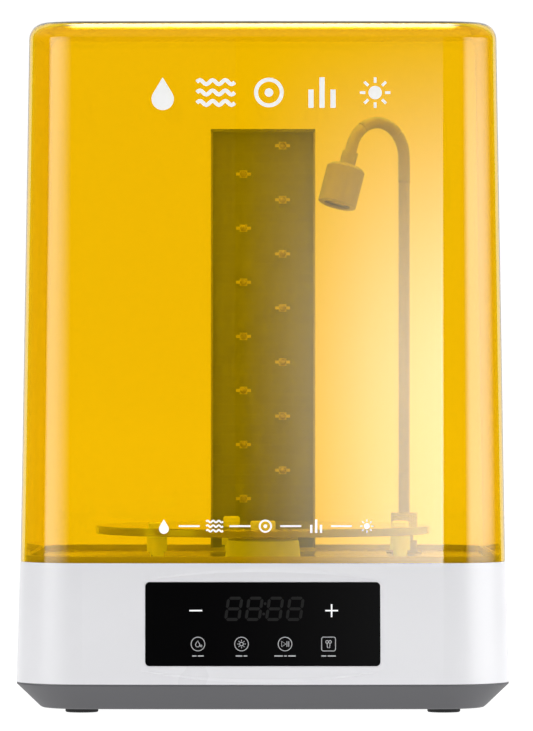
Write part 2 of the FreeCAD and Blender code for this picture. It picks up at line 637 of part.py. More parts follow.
bracket_holes = [rod("0", "drive_y", "motor_top - 1", "motor_boss + 0.2", "4")]
for x, y in four("hanger_x", "hanger_y"):
    bracket_holes.append(rod(x, f"drive_y + {y}", "motor_top - 1", "screw_clear", "4"))
for side in ("", "-"):
    bracket_holes.append(rod(f"{side}motor_screw_x", "drive_y", "motor_top - 1", "screw_clear", "4"))
keep(cut(centred_box("0", "drive_y", "motor_top", "bracket_wide", "bracket_deep", "bracket_thick"),
         fuse(*bracket_holes)), "motor_bracket")

keep(rod("0", "drive_y", "shaft_under", "shaft_radius", "drive_disc_top - shaft_under"), "motor_shaft")
drive_pockets = [rod(x, y, "drive_disc_top - magnet_thick", "magnet_radius", "magnet_thick + 1")
                 for x, y, angle in around("magnet_circle", 6)]
keep(cut(fuse(rod("0", "drive_y", "drive_disc_under", "drive_disc_radius",
                  "drive_disc_top - drive_disc_under"),
              rod("0", "drive_y", "drive_disc_under - 4", "6", "5")),
         rod("0", "drive_y", "drive_disc_under - 5", "shaft_radius", "20"),
         fuse(*drive_pockets)), "magnet_disc")
keep(group(*[rod(x, y, "drive_disc_top - magnet_thick", "magnet_radius", "magnet_thick")
             for x, y, angle in around("magnet_circle", 6)]), "drive_magnets")

# ---------------------------------------------------------------- control board

keep(cut(centred_box("board_x", "board_y", "board_under", "board_wide", "board_deep", "board_thick"),
         fuse(*[rod(x, y, "board_under - 1", "screw_clear", "4") for x, y in board_holes])), "main_board")
board_top = "board_under + board_thick"
parts_on_board = [
    centred_box("board_x - 26", "board_y + 8", board_top, "14", "26", "11"),
    centred_box("board_x + 30", "board_y + 6", board_top, "8", "24", "9"),
    centred_box("board_x", "board_y - header_back", board_top, "30", "7", "header_high"),
    centred_box("board_x + 4", "board_y + 5", board_top, "12", "12", "1.6"),
]
for k in range(3):
    parts_on_board.append(rod(f"board_x - 12 + {k} * 12", "board_y + 20", board_top, "4.5", "14"))
keep(group(*parts_on_board), "board_components")

# ---------------------------------------------------------------- power socket and switch

outward = Rotation(Vector(1, 0, 0), -90)
jack = cut(
    fuse(solid("Cylinder", ("socket_x", "rear_flat - jack_deep", "rear_z"), outward,
               Radius="jack_radius", Height="jack_deep + 1"),
         solid("Cylinder", ("socket_x", "rear_flat", "rear_z"), outward,
               Radius="jack_flange", Height="jack_flange_thick")),
    solid("Cylinder", ("socket_x", "rear_flat + jack_flange_thick - jack_bore_deep", "rear_z"), outward,
          Radius="jack_bore", Height="jack_bore_deep + 1"))
jack_pin = solid("Cylinder", ("socket_x", "rear_flat + jack_flange_thick - jack_bore_deep - 1", "rear_z"),
                 outward, Radius="jack_pin", Height="jack_bore_deep - 0.5")
keep(fuse(jack, jack_pin), "power_socket")

switch = cut(
    fuse(centred_box("switch_x", "rear_flat + switch_rim / 2", "rear_z - switch_high / 2", "switch_wide",
                     "switch_rim", "switch_high"),
         box("switch_x - switch_wide / 2 + switch_neck", "rear_flat - switch_deep",
             "rear_z - switch_high / 2 + switch_neck", "switch_wide - 2 * switch_neck",
             "switch_deep + 0.5", "switch_high - 2 * switch_neck")),
    solid("Cylinder", ("switch_x - rocker_wide / 2 - rocker_gap", "rear_flat", "rear_z"),
          Rotation(Vector(0, 1, 0), 90), Radius="rocker_round", Height="rocker_wide + 2 * rocker_gap"),
    solid("Cylinder", ("switch_x - rocker_pin_half - 0.2", "rear_flat", "rear_z"),
          Rotation(Vector(0, 1, 0), 90), Radius="rocker_pin + running_gap",
          Height="2 * rocker_pin_half + 0.4"))
keep(switch, "switch_body")

rocker_block = new_body()
pad(rocker_block, polygon(sketch_on(rocker_block, "YZ_Plane", "-rocker_wide / 2"),
                          [("3.2", "6.4"), ("-3", "6"), ("-5.6", "0"), ("-3", "-6"), ("3.2", "-6.4"),
                           ("1.4", "0")]), "rocker_wide")
rocker = fuse(rocker_block, solid("Cylinder", ("-rocker_pin_half", "0", "0"), Rotation(Vector(0, 1, 0), 90),
                                  Radius="rocker_pin", Height="2 * rocker_pin_half"))
rocker.Placement = Placement(Vector(), Rotation(Vector(1, 0, 0), -size("rocker_tilt")))
for axis, text in zip("xyz", ("switch_x", "rear_flat", "rear_z")):
    rocker.setExpression(f"Placement.Base.{axis}", bound(text))
keep(rocker, "power_rocker")

# ---------------------------------------------------------------- screws of the base

screws = [screw(x, y, "recess_top") for x, y in four("post_x", "post_y")]
screws += [screw(x, y, board_top, up=False) for x, y in board_holes]
screws += [screw(x, f"drive_y + {y}", "motor_top") for x, y in four("hanger_x", "hanger_y")]
screws += [screw(f"{side}motor_screw_x", "drive_y", bracket_top, up=False) for side in ("", "-")]
screws += [screw(x, y, "deck_under") for x, y in column_posts]
for x, y in four("touch_post_x", "touch_post_y"):
    screws.append(on_front(screw(x, y, "-touch_board_top - touch_board_thick")))
keep(group(*screws), "base_screws")

# ---------------------------------------------------------------- LED column

column = new_body()
inner_x = "column_half - column_side"
inner_y = "column_back - column_rear"
corners = [("column_half", "column_front"), ("column_half", "column_back"),
           ("-column_half", "column_back"), ("-column_half", "column_front"),
           (f"-({inner_x})", "column_front"), (f"-({inner_x})", inner_y), (inner_x, inner_y),
           (inner_x, "column_front")]
pad(column, polygon(sketch_on(column, "XY_Plane", "column_under"), corners),
    "column_top - column_under")
board_back = "led_board_front + led_board_thick"
ribs = [centred_box(f"{side}rib_x", f"({board_back} + {inner_y} + 0.5) / 2", "column_under + 18", "rib_wide",
                    f"{inner_y} + 0.5 - ({board_back})", "column_top - column_under - 18")
        for side in ("", "-")]
keep(fuse(column, *ribs), "column_housing")

foot_block = fuse(
    box("-column_half", "column_front", "deck_top", "2 * column_half",
        "column_back - column_front", "column_under - deck_top"),
    box(f"-({inner_x}) + 0.1", f"{board_back} + 0.4", "column_under - 0.5", f"2 * ({inner_x}) - 0.2",
        f"{inner_y} - ({board_back}) - 0.4", "14"))
keep(cut(foot_block, fuse(*[rod(x, y, "deck_top - 1", "screw_pilot", "screw_long")
                            for x, y in column_posts]),
         rod("0", "column_post_y", "deck_top - 1", "cable_hole", "20")), "column_foot")
keep(fuse(box("-column_half", "column_front", "column_top", "2 * column_half",
              "column_back - column_front", "column_cap"),
          box(f"-({inner_x}) + 7", f"{board_back} + 2", "column_top - 4", "4", "6", "5"),
          box(f"{inner_x} - 11", f"{board_back} + 2", "column_top - 4", "4", "6", "5")), "column_cap")
keep(box(f"-({inner_x})", "led_board_front", "column_under", f"2 * ({inner_x})", "led_board_thick",
         "column_top - column_under"), "led_board")

packages = []
domes = []
leads = []
for side, drop in (("", "0"), ("-", "led_left_drop")):
    for k in range(7):
        x = f"{side}led_x"
        z = f"led_first - {drop} - {k} * led_pitch"
        packages.append(box(f"{x} - led_size / 2", "led_board_front - led_thick", f"{z} - led_size / 2",
                            "led_size", "led_thick", "led_size"))
        ball = solid("Sphere", (x, "led_board_front - led_thick", z), Radius="led_dome")
        half_ball = cut(ball, box(f"{x} - 5", "led_board_front - led_thick", f"{z} - 5", "10", "10", "10"))
        domes.append(half_ball)
        for hand in ("-", "+"):
            leads.append(centred_box(f"{x} {hand} (led_size + led_lead_long) / 2",
                                     "led_board_front - led_lead_thick / 2", f"{z} - led_lead_wide / 2",
                                     "led_lead_long", "led_lead_thick", "led_lead_wide"))
keep(group(*packages), "led_packages")
keep(group(*domes), "led_domes")
keep(group(*leads), "led_leads")

# ---------------------------------------------------------------- lamp

keep(cut(fuse(rod("lamp_x", "lamp_y", "deck_top", "socket_flange", "socket_flange_top - deck_top"),
              rod("lamp_x", "lamp_y", "deck_top", "socket_radius", "socket_top - deck_top")),
         rod("lamp_x", "lamp_y", "socket_floor", "plug_pin + running_gap", "20"),
         rod("lamp_x", "lamp_y", "deck_top - 1", "cable_hole", "5")), "lamp_socket")
keep(cut(fuse(rod("lamp_x", "lamp_y", "plug_pin_under", "plug_pin", "plug_under - plug_pin_under + 1"),
              rod("lamp_x", "lamp_y", "plug_under", "plug_radius", "plug_top - plug_under")),
         rod("lamp_x", "lamp_y", "pole_under", "neck_radius", "20"),
         rod("lamp_x", "lamp_y", "plug_pin_under - 1", "neck_bore", "20")), "lamp_plug")
knurls = [rod(f"lamp_x + lamp_nut_radius * cos({15 * k})", f"lamp_y + lamp_nut_radius * sin({15 * k})",
              "plug_top + 1", "knurl_radius", "lamp_nut_top - plug_top - 2") for k in range(24)]
keep(cut(rod("lamp_x", "lamp_y", "plug_top", "lamp_nut_radius", "lamp_nut_top - plug_top"),
         rod("lamp_x", "lamp_y", "plug_top - 1", "neck_radius", "20"), fuse(*knurls)), "lamp_nut")

# The neck is drawn with its arch in the XZ plane and the pole on the Z axis, then turned into place.
joints = {
    "a": ("0", "arch_z", 180.0),
    "b": ("arch_radius", "arch_z + arch_radius", 90.0),
    "c": ("arch_radius * (1 + cos(arch_end))", "arch_z + arch_radius * sin(arch_end)", size("arch_end")),
}


def on_lamp(item):
    item.Placement = Placement(Vector(), Rotation(Vector(0, 0, 1), size("lamp_turn")))
    item.setExpression("Placement.Base.x", "Dimensions.lamp_x")
    item.setExpression("Placement.Base.y", "Dimensions.lamp_y")
    return item


def ball(joint, radius):
    x, z, angle = joints[joint]
    return solid("Sphere", (x, "0", z), Radius=radius)


def stem(joint):
    """The neck of the ball at that joint, reaching back along the arch."""
    x, z, angle = joints[joint]
    back = Rotation(Vector(0, 1, 0), -angle)
    item = solid("Cylinder", (x, "0", z), back, Radius="stem_radius", Height="stem_long")
    return item


def arch(first, last):
    """The arch's tube between two angles, less the room its two joints need."""
    lean = Rotation(Vector(1, 0, 0), 90).multiply(Rotation(Vector(0, 0, 1), first))
    ring = solid("Torus", ("arch_radius", "0", "arch_z"), lean, Radius1="arch_radius",
                 Radius2="neck_radius")
    ring.Angle3 = last - first
    return ring


pole = cut(rod("0", "0", "pole_under", "neck_radius", "arch_z - pole_under"), ball("a", "gap_radius"))
pole_stem = rod("0", "0", "arch_z - stem_long", "stem_radius", "stem_long")
keep(on_lamp(fuse(cut(pole, rod("0", "0", "pole_under - 1", "neck_bore", "arch_z - pole_under - 10")),
                  pole_stem, ball("a", "ball_radius"))), "lamp_pole")
link_1 = cut(arch(90.0, 180.0), ball("a", "cup_radius"), ball("b", "gap_radius"))
keep(on_lamp(fuse(link_1, stem("b"), ball("b", "ball_radius"))), "neck_link_1")
link_2 = cut(arch(size("arch_end"), 90.0), ball("b", "cup_radius"), ball("c", "gap_radius"))
keep(on_lamp(fuse(link_2, stem("c"), ball("c", "ball_radius"))), "neck_link_2")

# The head is turned about Z from the last joint, then pointed down the end of the arch.
arch_angle = math.radians(size("arch_end"))
head_way = Vector(math.sin(arch_angle), 0, -math.cos(arch_angle))
swing = Rotation(Vector(0, 0, 1), size("lamp_turn")).multiply(Rotation(Vector(0, 0, 1), head_way))
reach_c = "arch_radius * (1 + cos(arch_end))"


def on_head(item):
    item.Placement = Placement(Vector(), swing)
    item.setExpression("Placement.Base.x", bound(f"lamp_x + {reach_c} * cos(lamp_turn)"))
    item.setExpression("Placement.Base.y", bound(f"lamp_y + {reach_c} * sin(lamp_turn)"))
    item.setExpression("Placement.Base.z", bound("arch_z + arch_radius * sin(arch_end)"))
    return item


keep(on_head(cut(fuse(rod("0", "0", "0", "neck_radius", "sleeve_thin + 0.5"),
                      rod("0", "0", "sleeve_thin", "sleeve_radius", "sleeve_end - sleeve_thin")),
                 solid("Sphere", Radius="cup_radius"))), "lamp_sleeve")
head_bore = "head_radius - head_wall"
keep(on_head(revolved([
    ("2", "sleeve_end"), ("head_radius - head_bevel", "sleeve_end"),
    ("head_radius", "sleeve_end + head_bevel"), ("head_radius", "head_seam"), (head_bore, "head_seam"),
    (head_bore, "sleeve_end + head_wall + 1"), ("2", "sleeve_end + head_wall + 1")])), "lamp_head_shell")
keep(on_head(revolved([
    (head_bore, "head_seam"), ("head_radius", "head_seam"), ("head_radius", "head_end - 0.6"),
    ("head_radius - 0.6", "head_end"), ("head_lens_radius", "head_end"),
    ("head_lens_radius", "head_lens_top"), (head_bore, "head_lens_top")])), "lamp_bezel")
keep(on_head(group(rod("0", "0", "head_lens_under", head_bore, "head_lens_top - head_lens_under"))),
     "lamp_lens")
keep(on_head(group(rod("0", "0", "head_board_under", head_bore, "head_board_top - head_board_under"))),
     "lamp_board")
keep(on_head(fuse(centred_box("0", "0", "head_board_top", "led_size", "led_size", "head_led_high"),
                  centred_box("0", "0", "head_board_top", "led_size + 4", "2", "0.4"))), "lamp_led")

# ---------------------------------------------------------------- turntable unit

unit_keys = [rod(x, y, "deck_top - 1", "key_radius + 0.2", "3") for x, y, angle in
             around("key_circle", 3, 60.0)]
housing = revolved([
    ("axle_radius", "deck_top"), ("unit_foot_radius", "deck_top"), ("unit_top_radius", "unit_top"),
    ("unit_bore", "unit_top"), ("unit_bore", "plate_under"), ("unit_step_bore", "plate_under"),
    ("unit_step_bore", "unit_floor"), ("axle_radius", "unit_floor")])
housing.setExpression("Placement.Base.y", "Dimensions.drive_y")
keep(cut(housing, fuse(*unit_keys)), "turntable_housing")
keep(rod("0", "drive_y", "deck_top", "axle_radius", "axle_top - deck_top"), "turntable_axle")

running_bore = size("axle_radius") + size("running_gap")
on_axis = Placement(Vector(0, size("drive_y"), 0), Rotation())
sun = toothed(12, "gear_under", "gear_step")
neck = Part.makeCylinder(2.8, size("gear_under") - size("rotor_top") + 0.5,
                         Vector(0, 0, size("rotor_top") - 0.5))
disc = Part.makeCylinder(size("rotor_radius"), size("rotor_top") - size("rotor_under"),
                         Vector(0, 0, size("rotor_under")))
hole = Part.makeCylinder(running_bore, 20, Vector(0, 0, size("deck_top")))
rotor_shape = disc.multiFuse([neck, sun]).cut(hole)
for k in range(6):
    x, y = (size("magnet_circle") * f(math.radians(60 * k)) for f in (math.cos, math.sin))
    rotor_shape = rotor_shape.cut(Part.makeCylinder(size("magnet_radius"), size("magnet_thick"),
                                                    Vector(x, y, size("rotor_under"))))
keep(made(rotor_shape.removeSplitter(), on_axis), "magnetic_rotor")
keep(group(*[rod(x, y, "rotor_under", "magnet_radius", "magnet_thick")
             for x, y, angle in around("magnet_circle", 6)]), "rotor_magnets")

idler_places = list(around("idler_circle", 3, 90.0))
keep(cut(rod("0", "drive_y", "plate_under", "unit_bore", "plate_top - plate_under"),
         rod("0", "drive_y", "plate_under - 1", "plate_hole", "4"),
         *[rod(x, y, "plate_under - 1", "idler_pin", "4") for x, y, angle in idler_places]), "gear_plate")
keep(group(*[rod(x, y, "plate_under", "idler_pin", "gear_top - plate_under")
             for x, y, angle in idler_places]), "idler_pins")
for number, (x, y, angle) in enumerate(idler_places, start=1):
    big = toothed(27, "gear_under", "gear_step", angle + 180.0 + 360.0 / 54)
    small = toothed(12, "gear_step", "gear_top", angle)
    bore = Part.makeCylinder(size("idler_pin") + size("running_gap"), 20, Vector(0, 0, size("deck_top")))
    idler = made(big.fuse(small).cut(bore))
    idler.setExpression("Placement.Base.x", bound(x))
    idler.setExpression("Placement.Base.y", bound(y))
    keep(idler, f"idler_gear_{number}")

ring = Part.makeCylinder(size("ring_radius"), size("table_hub_under") - size("ring_under"),
                         Vector(0, 0, size("ring_under")))
spaces = toothed(51, "ring_under", "table_hub_under", 90.0, extra=1.0)
hub_disc = Part.makeCylinder(size("table_hub_radius"), size("disc_under") - size("table_hub_under"),
                             Vector(0, 0, size("table_hub_under")))
hub_hole = Part.makeCylinder(size("bush_radius"), 20, Vector(0, 0, size("deck_top")))
keep(made(ring.cut(spaces).fuse(hub_disc).cut(hub_hole).removeSplitter(), on_axis), "turntable_hub")
keep(cut(rod("0", "drive_y", "table_hub_under", "bush_radius", "disc_top - table_hub_under"),
         rod("0", "drive_y", "deck_top", "axle_radius + running_gap", "30")), "turntable_bush")

# ---------------------------------------------------------------- turntable

feet_places = list(around("wheel_circle", 3, size("first_foot")))
disc_body = new_body()
disc_pad = pad(disc_body, circle(sketch_on(disc_body, "XY_Plane", "disc_under"), "0", "drive_y",
                                 "disc_radius"), "disc_top - disc_under")
rounded(disc_body, disc_pad, edges_at(disc_pad.Shape, size("disc_top"))
        + edges_at(disc_pad.Shape, size("disc_under")), "disc_edge", "Chamfer")
disc_cuts = [rod(x, y, "disc_under - 1", "foot_stud", "9") for x, y, angle in feet_places]
disc_cuts.append(rod("0", "drive_y", "disc_under - 1", "bush_radius", "9"))
keep(cut(disc_body, fuse(*disc_cuts)), "turntable_disc")
keep(fuse(rod("0", "drive_y", "disc_top", "cap_radius", "cap_high - 0.8"),
          solid("Cone", ("0", "drive_y", "disc_top + cap_high - 0.8"), Radius1="cap_radius",
                Radius2="cap_radius - 0.8", Height="0.8")), "centre_cap")

foot_bodies = []
axles = []
for number, (x, y, angle) in enumerate(feet_places, start=1):
    turn = Rotation(Vector(0, 0, 1), angle)
    sideways = turn.multiply(Rotation(Vector(0, 1, 0), 90))

    def across(radius, start, length):
        """A rod on the wheel's axis, starting that far out from the foot's own axis."""
        item = solid("Cylinder", turn=sideways, Radius=radius, Height=length)
        item.setExpression("Placement.Base.x", bound(f"{x} + ({start}) * cos({angle})"))
        item.setExpression("Placement.Base.y", bound(f"{y} + ({start}) * sin({angle})"))
        item.setExpression("Placement.Base.z", "Dimensions.wheel_z")
        return item

    post = fuse(rod(x, y, "foot_body_under", "foot_body_radius", "disc_under - foot_body_under"),
                rod(x, y, "prong_under", "prong_radius", "foot_body_under - prong_under + 0.5"),
                rod(x, y, "disc_under - 1", "foot_stud", "foot_stud_top - disc_under + 1"))
    slot = across("wheel_radius + 0.4", "-wheel_slot / 2", "wheel_slot")
    mouth = solid("Box", turn=turn, Length="wheel_slot", Width="2 * wheel_radius + 0.8", Height="3")
    back_x = f"-wheel_slot / 2 * cos({angle}) + (wheel_radius + 0.4) * sin({angle})"
    back_y = f"-wheel_slot / 2 * sin({angle}) - (wheel_radius + 0.4) * cos({angle})"
    for axis, text in (("x", f"{x} + {back_x}"), ("y", f"{y} + {back_y}"), ("z", "wheel_z - 3")):
        mouth.setExpression(f"Placement.Base.{axis}", bound(text))
    foot_bodies.append(cut(post, slot, mouth, across("wheel_axle", "-8", "16")))
    axles.append(across("wheel_axle", "-prong_radius + 0.3", "2 * prong_radius - 0.6"))
    keep(cut(across("wheel_radius", "-wheel_wide / 2", "wheel_wide"),
             across("wheel_axle + running_gap", "-wheel_wide", "2 * wheel_wide")), f"wheel_{number}")
keep(group(*foot_bodies), "turntable_feet")
keep(group(*axles), "wheel_axles")
caps = []
for x, y, angle in feet_places:
    caps.append(cut(fuse(rod(x, y, "disc_top", "foot_cap_radius", "foot_cap_top - disc_top - 1"),
                         solid("Cone", (x, y, "foot_cap_top - 1"), Radius1="foot_cap_radius",
                               Radius2="foot_cap_radius - 1", Height="1")),
                    rod(x, y, "disc_top - 1", "foot_stud", "foot_stud_top - disc_top + 1")))
keep(group(*caps), "foot_caps")

# ---------------------------------------------------------------- hood

hood_form = new_body()
hood_pad = pad(hood_form, outline(hood_form, "parting", "hood_step"), "height - parting", "-hood_draft")
rounded(hood_form, hood_pad, edges_at(hood_pad.Shape, size("height")), "hood_edge")
hood_hollow = new_body()
hollow_pad = pad(hood_hollow, outline(hood_hollow, "parting", "hood_step + hood_wall"),
                 "height - parting - hood_wall", "-hood_draft")
rounded(hood_hollow, hollow_pad, edges_at(hollow_pad.Shape, size("height") - size("hood_wall")),
        "hood_edge - hood_wall")
gate = rod("0", "0", "height - gate_depth", "gate_radius", "gate_depth + 1")
keep(cut(hood_form, hood_hollow, gate), "hood")

# ---------------------------------------------------------------- wiring inside the base

board_z = size("board_under") + size("board_thick") + size("header_high")
plug_y = size("board_y") - size("header_back")
runs = [
    [(-84, plug_y, board_z), (-84, plug_y, 40), (-60, -60, 40), (-30, -60, 45), (-30, -112, 56)],
    [(-78, plug_y, board_z), (-78, plug_y, 34), (-30, -12, 34), (-6, -12, 38), (-3, -12, 41)],
    [(-72, plug_y, board_z), (-72, plug_y, 28), (0, 60, 28), (0, size("column_post_y"), 60),
     (0, size("column_post_y"), size("column_under") + 10)],
    [(-66, plug_y, board_z), (-66, plug_y, 29), (30, 40, 29), (62, 100, 40), (62, 114.6, 48)],
]
keep(made(Part.makeCompound([cable(points) for points in runs])), "wiring")

# ---------------------------------------------------------------- write the files

doc.recompute()
for item in doc.Objects:
    if {"Invalid", "Error"} & set(item.State):
        raise RuntimeError(f"{item.Label} ({item.TypeId}) is {item.State}")
for item in sub_parts:
    if item.Shape.isNull() or not item.Shape.isValid():
        raise RuntimeError(f"{item.Label} has no valid shape")

os.makedirs("parts", exist_ok=True)
for item in sub_parts:
    item.Shape.exportStep(f"parts/{item.Label}.step")
    print(f"{item.Label}: {len(item.Shape.Solids)} solid(s), {item.Shape.Volume:.1f} mm3")
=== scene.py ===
"""The look of a wash-and-cure station for resin prints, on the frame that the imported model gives.

Units are metres in the model's own frame: the front faces -Y and +X is to the right.
"""
import bpy
import bmesh
import json
import math
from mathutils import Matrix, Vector


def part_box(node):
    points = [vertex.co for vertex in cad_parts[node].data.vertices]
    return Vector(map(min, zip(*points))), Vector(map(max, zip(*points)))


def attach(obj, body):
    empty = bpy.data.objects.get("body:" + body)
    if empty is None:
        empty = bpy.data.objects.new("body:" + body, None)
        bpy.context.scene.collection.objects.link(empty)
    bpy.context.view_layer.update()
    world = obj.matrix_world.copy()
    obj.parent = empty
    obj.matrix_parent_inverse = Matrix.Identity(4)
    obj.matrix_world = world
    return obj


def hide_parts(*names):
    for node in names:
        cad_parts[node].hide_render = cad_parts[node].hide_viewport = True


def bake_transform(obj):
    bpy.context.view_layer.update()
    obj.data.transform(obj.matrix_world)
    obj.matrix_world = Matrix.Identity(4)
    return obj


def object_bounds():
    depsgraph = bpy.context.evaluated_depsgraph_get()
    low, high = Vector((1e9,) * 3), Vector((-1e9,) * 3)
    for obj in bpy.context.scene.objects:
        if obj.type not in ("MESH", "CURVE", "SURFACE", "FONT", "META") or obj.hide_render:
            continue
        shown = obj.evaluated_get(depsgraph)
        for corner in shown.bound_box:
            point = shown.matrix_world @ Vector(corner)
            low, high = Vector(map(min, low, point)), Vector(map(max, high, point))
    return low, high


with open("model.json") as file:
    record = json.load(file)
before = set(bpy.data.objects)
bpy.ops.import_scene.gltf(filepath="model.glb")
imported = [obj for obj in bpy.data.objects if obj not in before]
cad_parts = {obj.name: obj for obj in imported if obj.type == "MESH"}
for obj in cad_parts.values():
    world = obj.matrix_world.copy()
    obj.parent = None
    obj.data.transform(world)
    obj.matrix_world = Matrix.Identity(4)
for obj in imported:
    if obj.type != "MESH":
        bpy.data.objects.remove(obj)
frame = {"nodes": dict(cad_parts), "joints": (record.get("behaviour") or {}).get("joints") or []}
cad_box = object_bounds()
nodes = frame["nodes"]
MM = 0.001


# ---------------------------------------------------------------- places read from the frame

def face_towards(node, direction):
    """Centre and normal of a node's largest flat patch that faces a direction."""
    direction = Vector(direction).normalized()
    groups = {}
    for polygon in nodes[node].data.polygons:
        if polygon.normal.dot(direction) > 0.9:
            key = tuple(round(v, 3) for v in polygon.normal)
            groups.setdefault(key, []).append(polygon)
    best = max(groups.values(), key=lambda polygons: sum(p.area for p in polygons))
    corners = [nodes[node].data.vertices[i].co for p in best for i in p.vertices]
    low = Vector(min(c[k] for c in corners) for k in range(3))
    high = Vector(max(c[k] for c in corners) for k in range(3))
    return (low + high) / 2, best[0].normal.copy()


def joint(name):
    return next(j for j in frame["joints"] if j["name"] == name)


# ---------------------------------------------------------------- materials

# Noise keeps mostly between these two values, so its whole range is taken from them.
NOISE_LOW = 0.3
NOISE_HIGH = 0.7
PLASTIC_IOR = 1.49


def shader_of(material):
    return material.node_tree.nodes["Principled BSDF"]


def principled(name, colour, roughness, **sockets):
    """A node material with one Principled shader; further sockets are set by name."""
    material = bpy.data.materials.new(name)
    material.use_nodes = True
    shader = shader_of(material)
    shader.inputs["Base Color"].default_value = (*colour, 1.0)
    shader.inputs["Roughness"].default_value = roughness
    for socket, value in sockets.items():
        shader.inputs[socket.replace("_", " ")].default_value = value
    return material


def node_of(material, kind, **values):
    made = material.node_tree.nodes.new(kind)
    for name, value in values.items():
        made.inputs[name.replace("_", " ")].default_value = value
    return made


def noise(material, scale, detail=4.0, stretch=(1.0, 1.0, 1.0)):
    """Noise in object space, which is the frame's, at scale cells per metre."""
    place = material.node_tree.nodes.new("ShaderNodeTexCoord")
    mapping = node_of(material, "ShaderNodeMapping", Scale=stretch)
    texture = node_of(material, "ShaderNodeTexNoise", Scale=scale, Detail=detail)
    material.node_tree.links.new(place.outputs["Object"], mapping.inputs["Vector"])
    material.node_tree.links.new(mapping.outputs["Vector"], texture.inputs["Vector"])
    return texture


def bump(material, height, strength, distance):
    """Adds a bump from a height output."""
    shader = shader_of(material)
    relief = node_of(material, "ShaderNodeBump", Strength=strength, Distance=distance)
    material.node_tree.links.new(height, relief.inputs["Height"])
    material.node_tree.links.new(relief.outputs["Normal"], shader.inputs["Normal"])


def vary(material, socket, factor, low, high):
    """Lets a socket run between two values along a factor from 0 to 1."""
    shader = shader_of(material)
    if isinstance(low, tuple):
        ramp = material.node_tree.nodes.new("ShaderNodeValToRGB")
        ramp.color_ramp.elements[0].position = NOISE_LOW
        ramp.color_ramp.elements[1].position = NOISE_HIGH
        ramp.color_ramp.elements[0].color = (*low, 1.0)
        ramp.color_ramp.elements[1].color = (*high, 1.0)
        material.node_tree.links.new(factor, ramp.inputs["Fac"])
        material.node_tree.links.new(ramp.outputs["Color"], shader.inputs[socket])
        return
    span = node_of(material, "ShaderNodeMapRange", From_Min=NOISE_LOW, From_Max=NOISE_HIGH,
                   To_Min=low, To_Max=high)
    material.node_tree.links.new(factor, span.inputs["Value"])
    material.node_tree.links.new(span.outputs["Result"], shader.inputs[socket])


def shade(colour, amount):
    return tuple(min(1.0, c * amount) for c in colour)


def plastic(name, colour, roughness, grain=2500.0, relief=0.03, mottle=0.05):
    """Moulded plastic: a fine texture, slight changes of tone and of gloss."""
    material = principled(name, colour, roughness, IOR=PLASTIC_IOR)
    fine = noise(material, grain, 2.0)
    broad = noise(material, 14.0, 3.0)
    bump(material, fine.outputs["Fac"], 0.25, relief * MM)
    vary(material, "Base Color", broad.outputs["Fac"],
         shade(colour, 1 - mottle), shade(colour, 1 + mottle))
    vary(material, "Roughness", broad.outputs["Fac"], roughness * 0.9, min(1.0, roughness * 1.12))
    return material


def metal(name, colour, roughness, along=(1.0, 1.0, 40.0)):
    """Drawn or turned metal with fine lines across one direction."""
    material = principled(name, colour, roughness, Metallic=1.0)
    lines = noise(material, 180.0, 3.0, along)
    bump(material, lines.outputs["Fac"], 0.12, 0.02 * MM)
    vary(material, "Roughness", lines.outputs["Fac"], roughness * 0.75, roughness * 1.25)
    vary(material, "Base Color", lines.outputs["Fac"], shade(colour, 0.92), shade(colour, 1.05))
    return material


def clear(name, colour, roughness, waviness=0.0):
    """Polished see-through plastic."""
    material = principled(name, colour, roughness, IOR=PLASTIC_IOR, Transmission_Weight=1.0)
    if waviness:
        swell = noise(material, 9.0, 1.0)
        bump(material, swell.outputs["Fac"], 0.3, waviness * MM)
    return material


def dress(material, *names):
    """Gives CAD nodes a material."""
    for name in names:
        data = nodes[name].data
        data.materials.clear()
        data.materials.append(material)


def circuit_board(name, mask, traces):
    """Solder mask over faint copper tracks."""
    material = principled(name, mask, 0.38, IOR=1.5, Coat_Weight=0.25)
    place = material.node_tree.nodes.new("ShaderNodeTexCoord")
    tracks = node_of(material, "ShaderNodeTexBrick", Scale=38.0, Mortar_Size=0.012,
                     Color1=(*mask, 1.0), Color2=(*shade(mask, 1.06), 1.0), Mortar=(*traces, 1.0))
    turn = node_of(material, "ShaderNodeMapping", Rotation=(math.pi / 2, 0.0, 0.0))
    links = material.node_tree.links
    links.new(place.outputs["Object"], turn.inputs["Vector"])
    links.new(turn.outputs["Vector"], tracks.inputs["Vector"])
    links.new(tracks.outputs["Color"], shader_of(material).inputs["Base Color"])
    fine = noise(material, 900.0, 2.0)
    bump(material, fine.outputs["Fac"], 0.1, 0.02 * MM)
    return material


AMBER = (0.95, 0.75, 0.004)
AMBER_DEPTH = 700.0
white = plastic("white_shell", (0.76, 0.76, 0.785), 0.30, grain=1800.0, relief=0.012, mottle=0.015)
charcoal = plastic("charcoal_pan", (0.092, 0.092, 0.099), 0.55, grain=1500.0, relief=0.05)
deck_grey = plastic("deck_grey", (0.80, 0.80, 0.79), 0.20, grain=1500.0, relief=0.03)
black = plastic("black_plastic", (0.022, 0.022, 0.024), 0.45)
pale = plastic("pale_plastic", (0.76, 0.77, 0.75), 0.42)
gear_white = plastic("gear_white", (0.80, 0.79, 0.74), 0.40)
lamp_shell = plastic("lamp_shell", (0.55, 0.55, 0.53), 0.38)
rubber = plastic("foot_rubber", (0.016, 0.016, 0.017), 0.78, grain=1200.0, relief=0.08)
seal_rubber = plastic("seal_rubber", (0.04, 0.04, 0.04), 0.85)
neck_cover = plastic("neck_cover", (0.57, 0.56, 0.53), 0.5, grain=1400.0, relief=0.06)
steel = metal("zinc_steel", (0.60, 0.60, 0.61), 0.28)
nickel = metal("nickel", (0.66, 0.65, 0.62), 0.18)
aluminium = metal("anodised_column", (0.50, 0.50, 0.51), 0.30, (30.0, 30.0, 0.6))
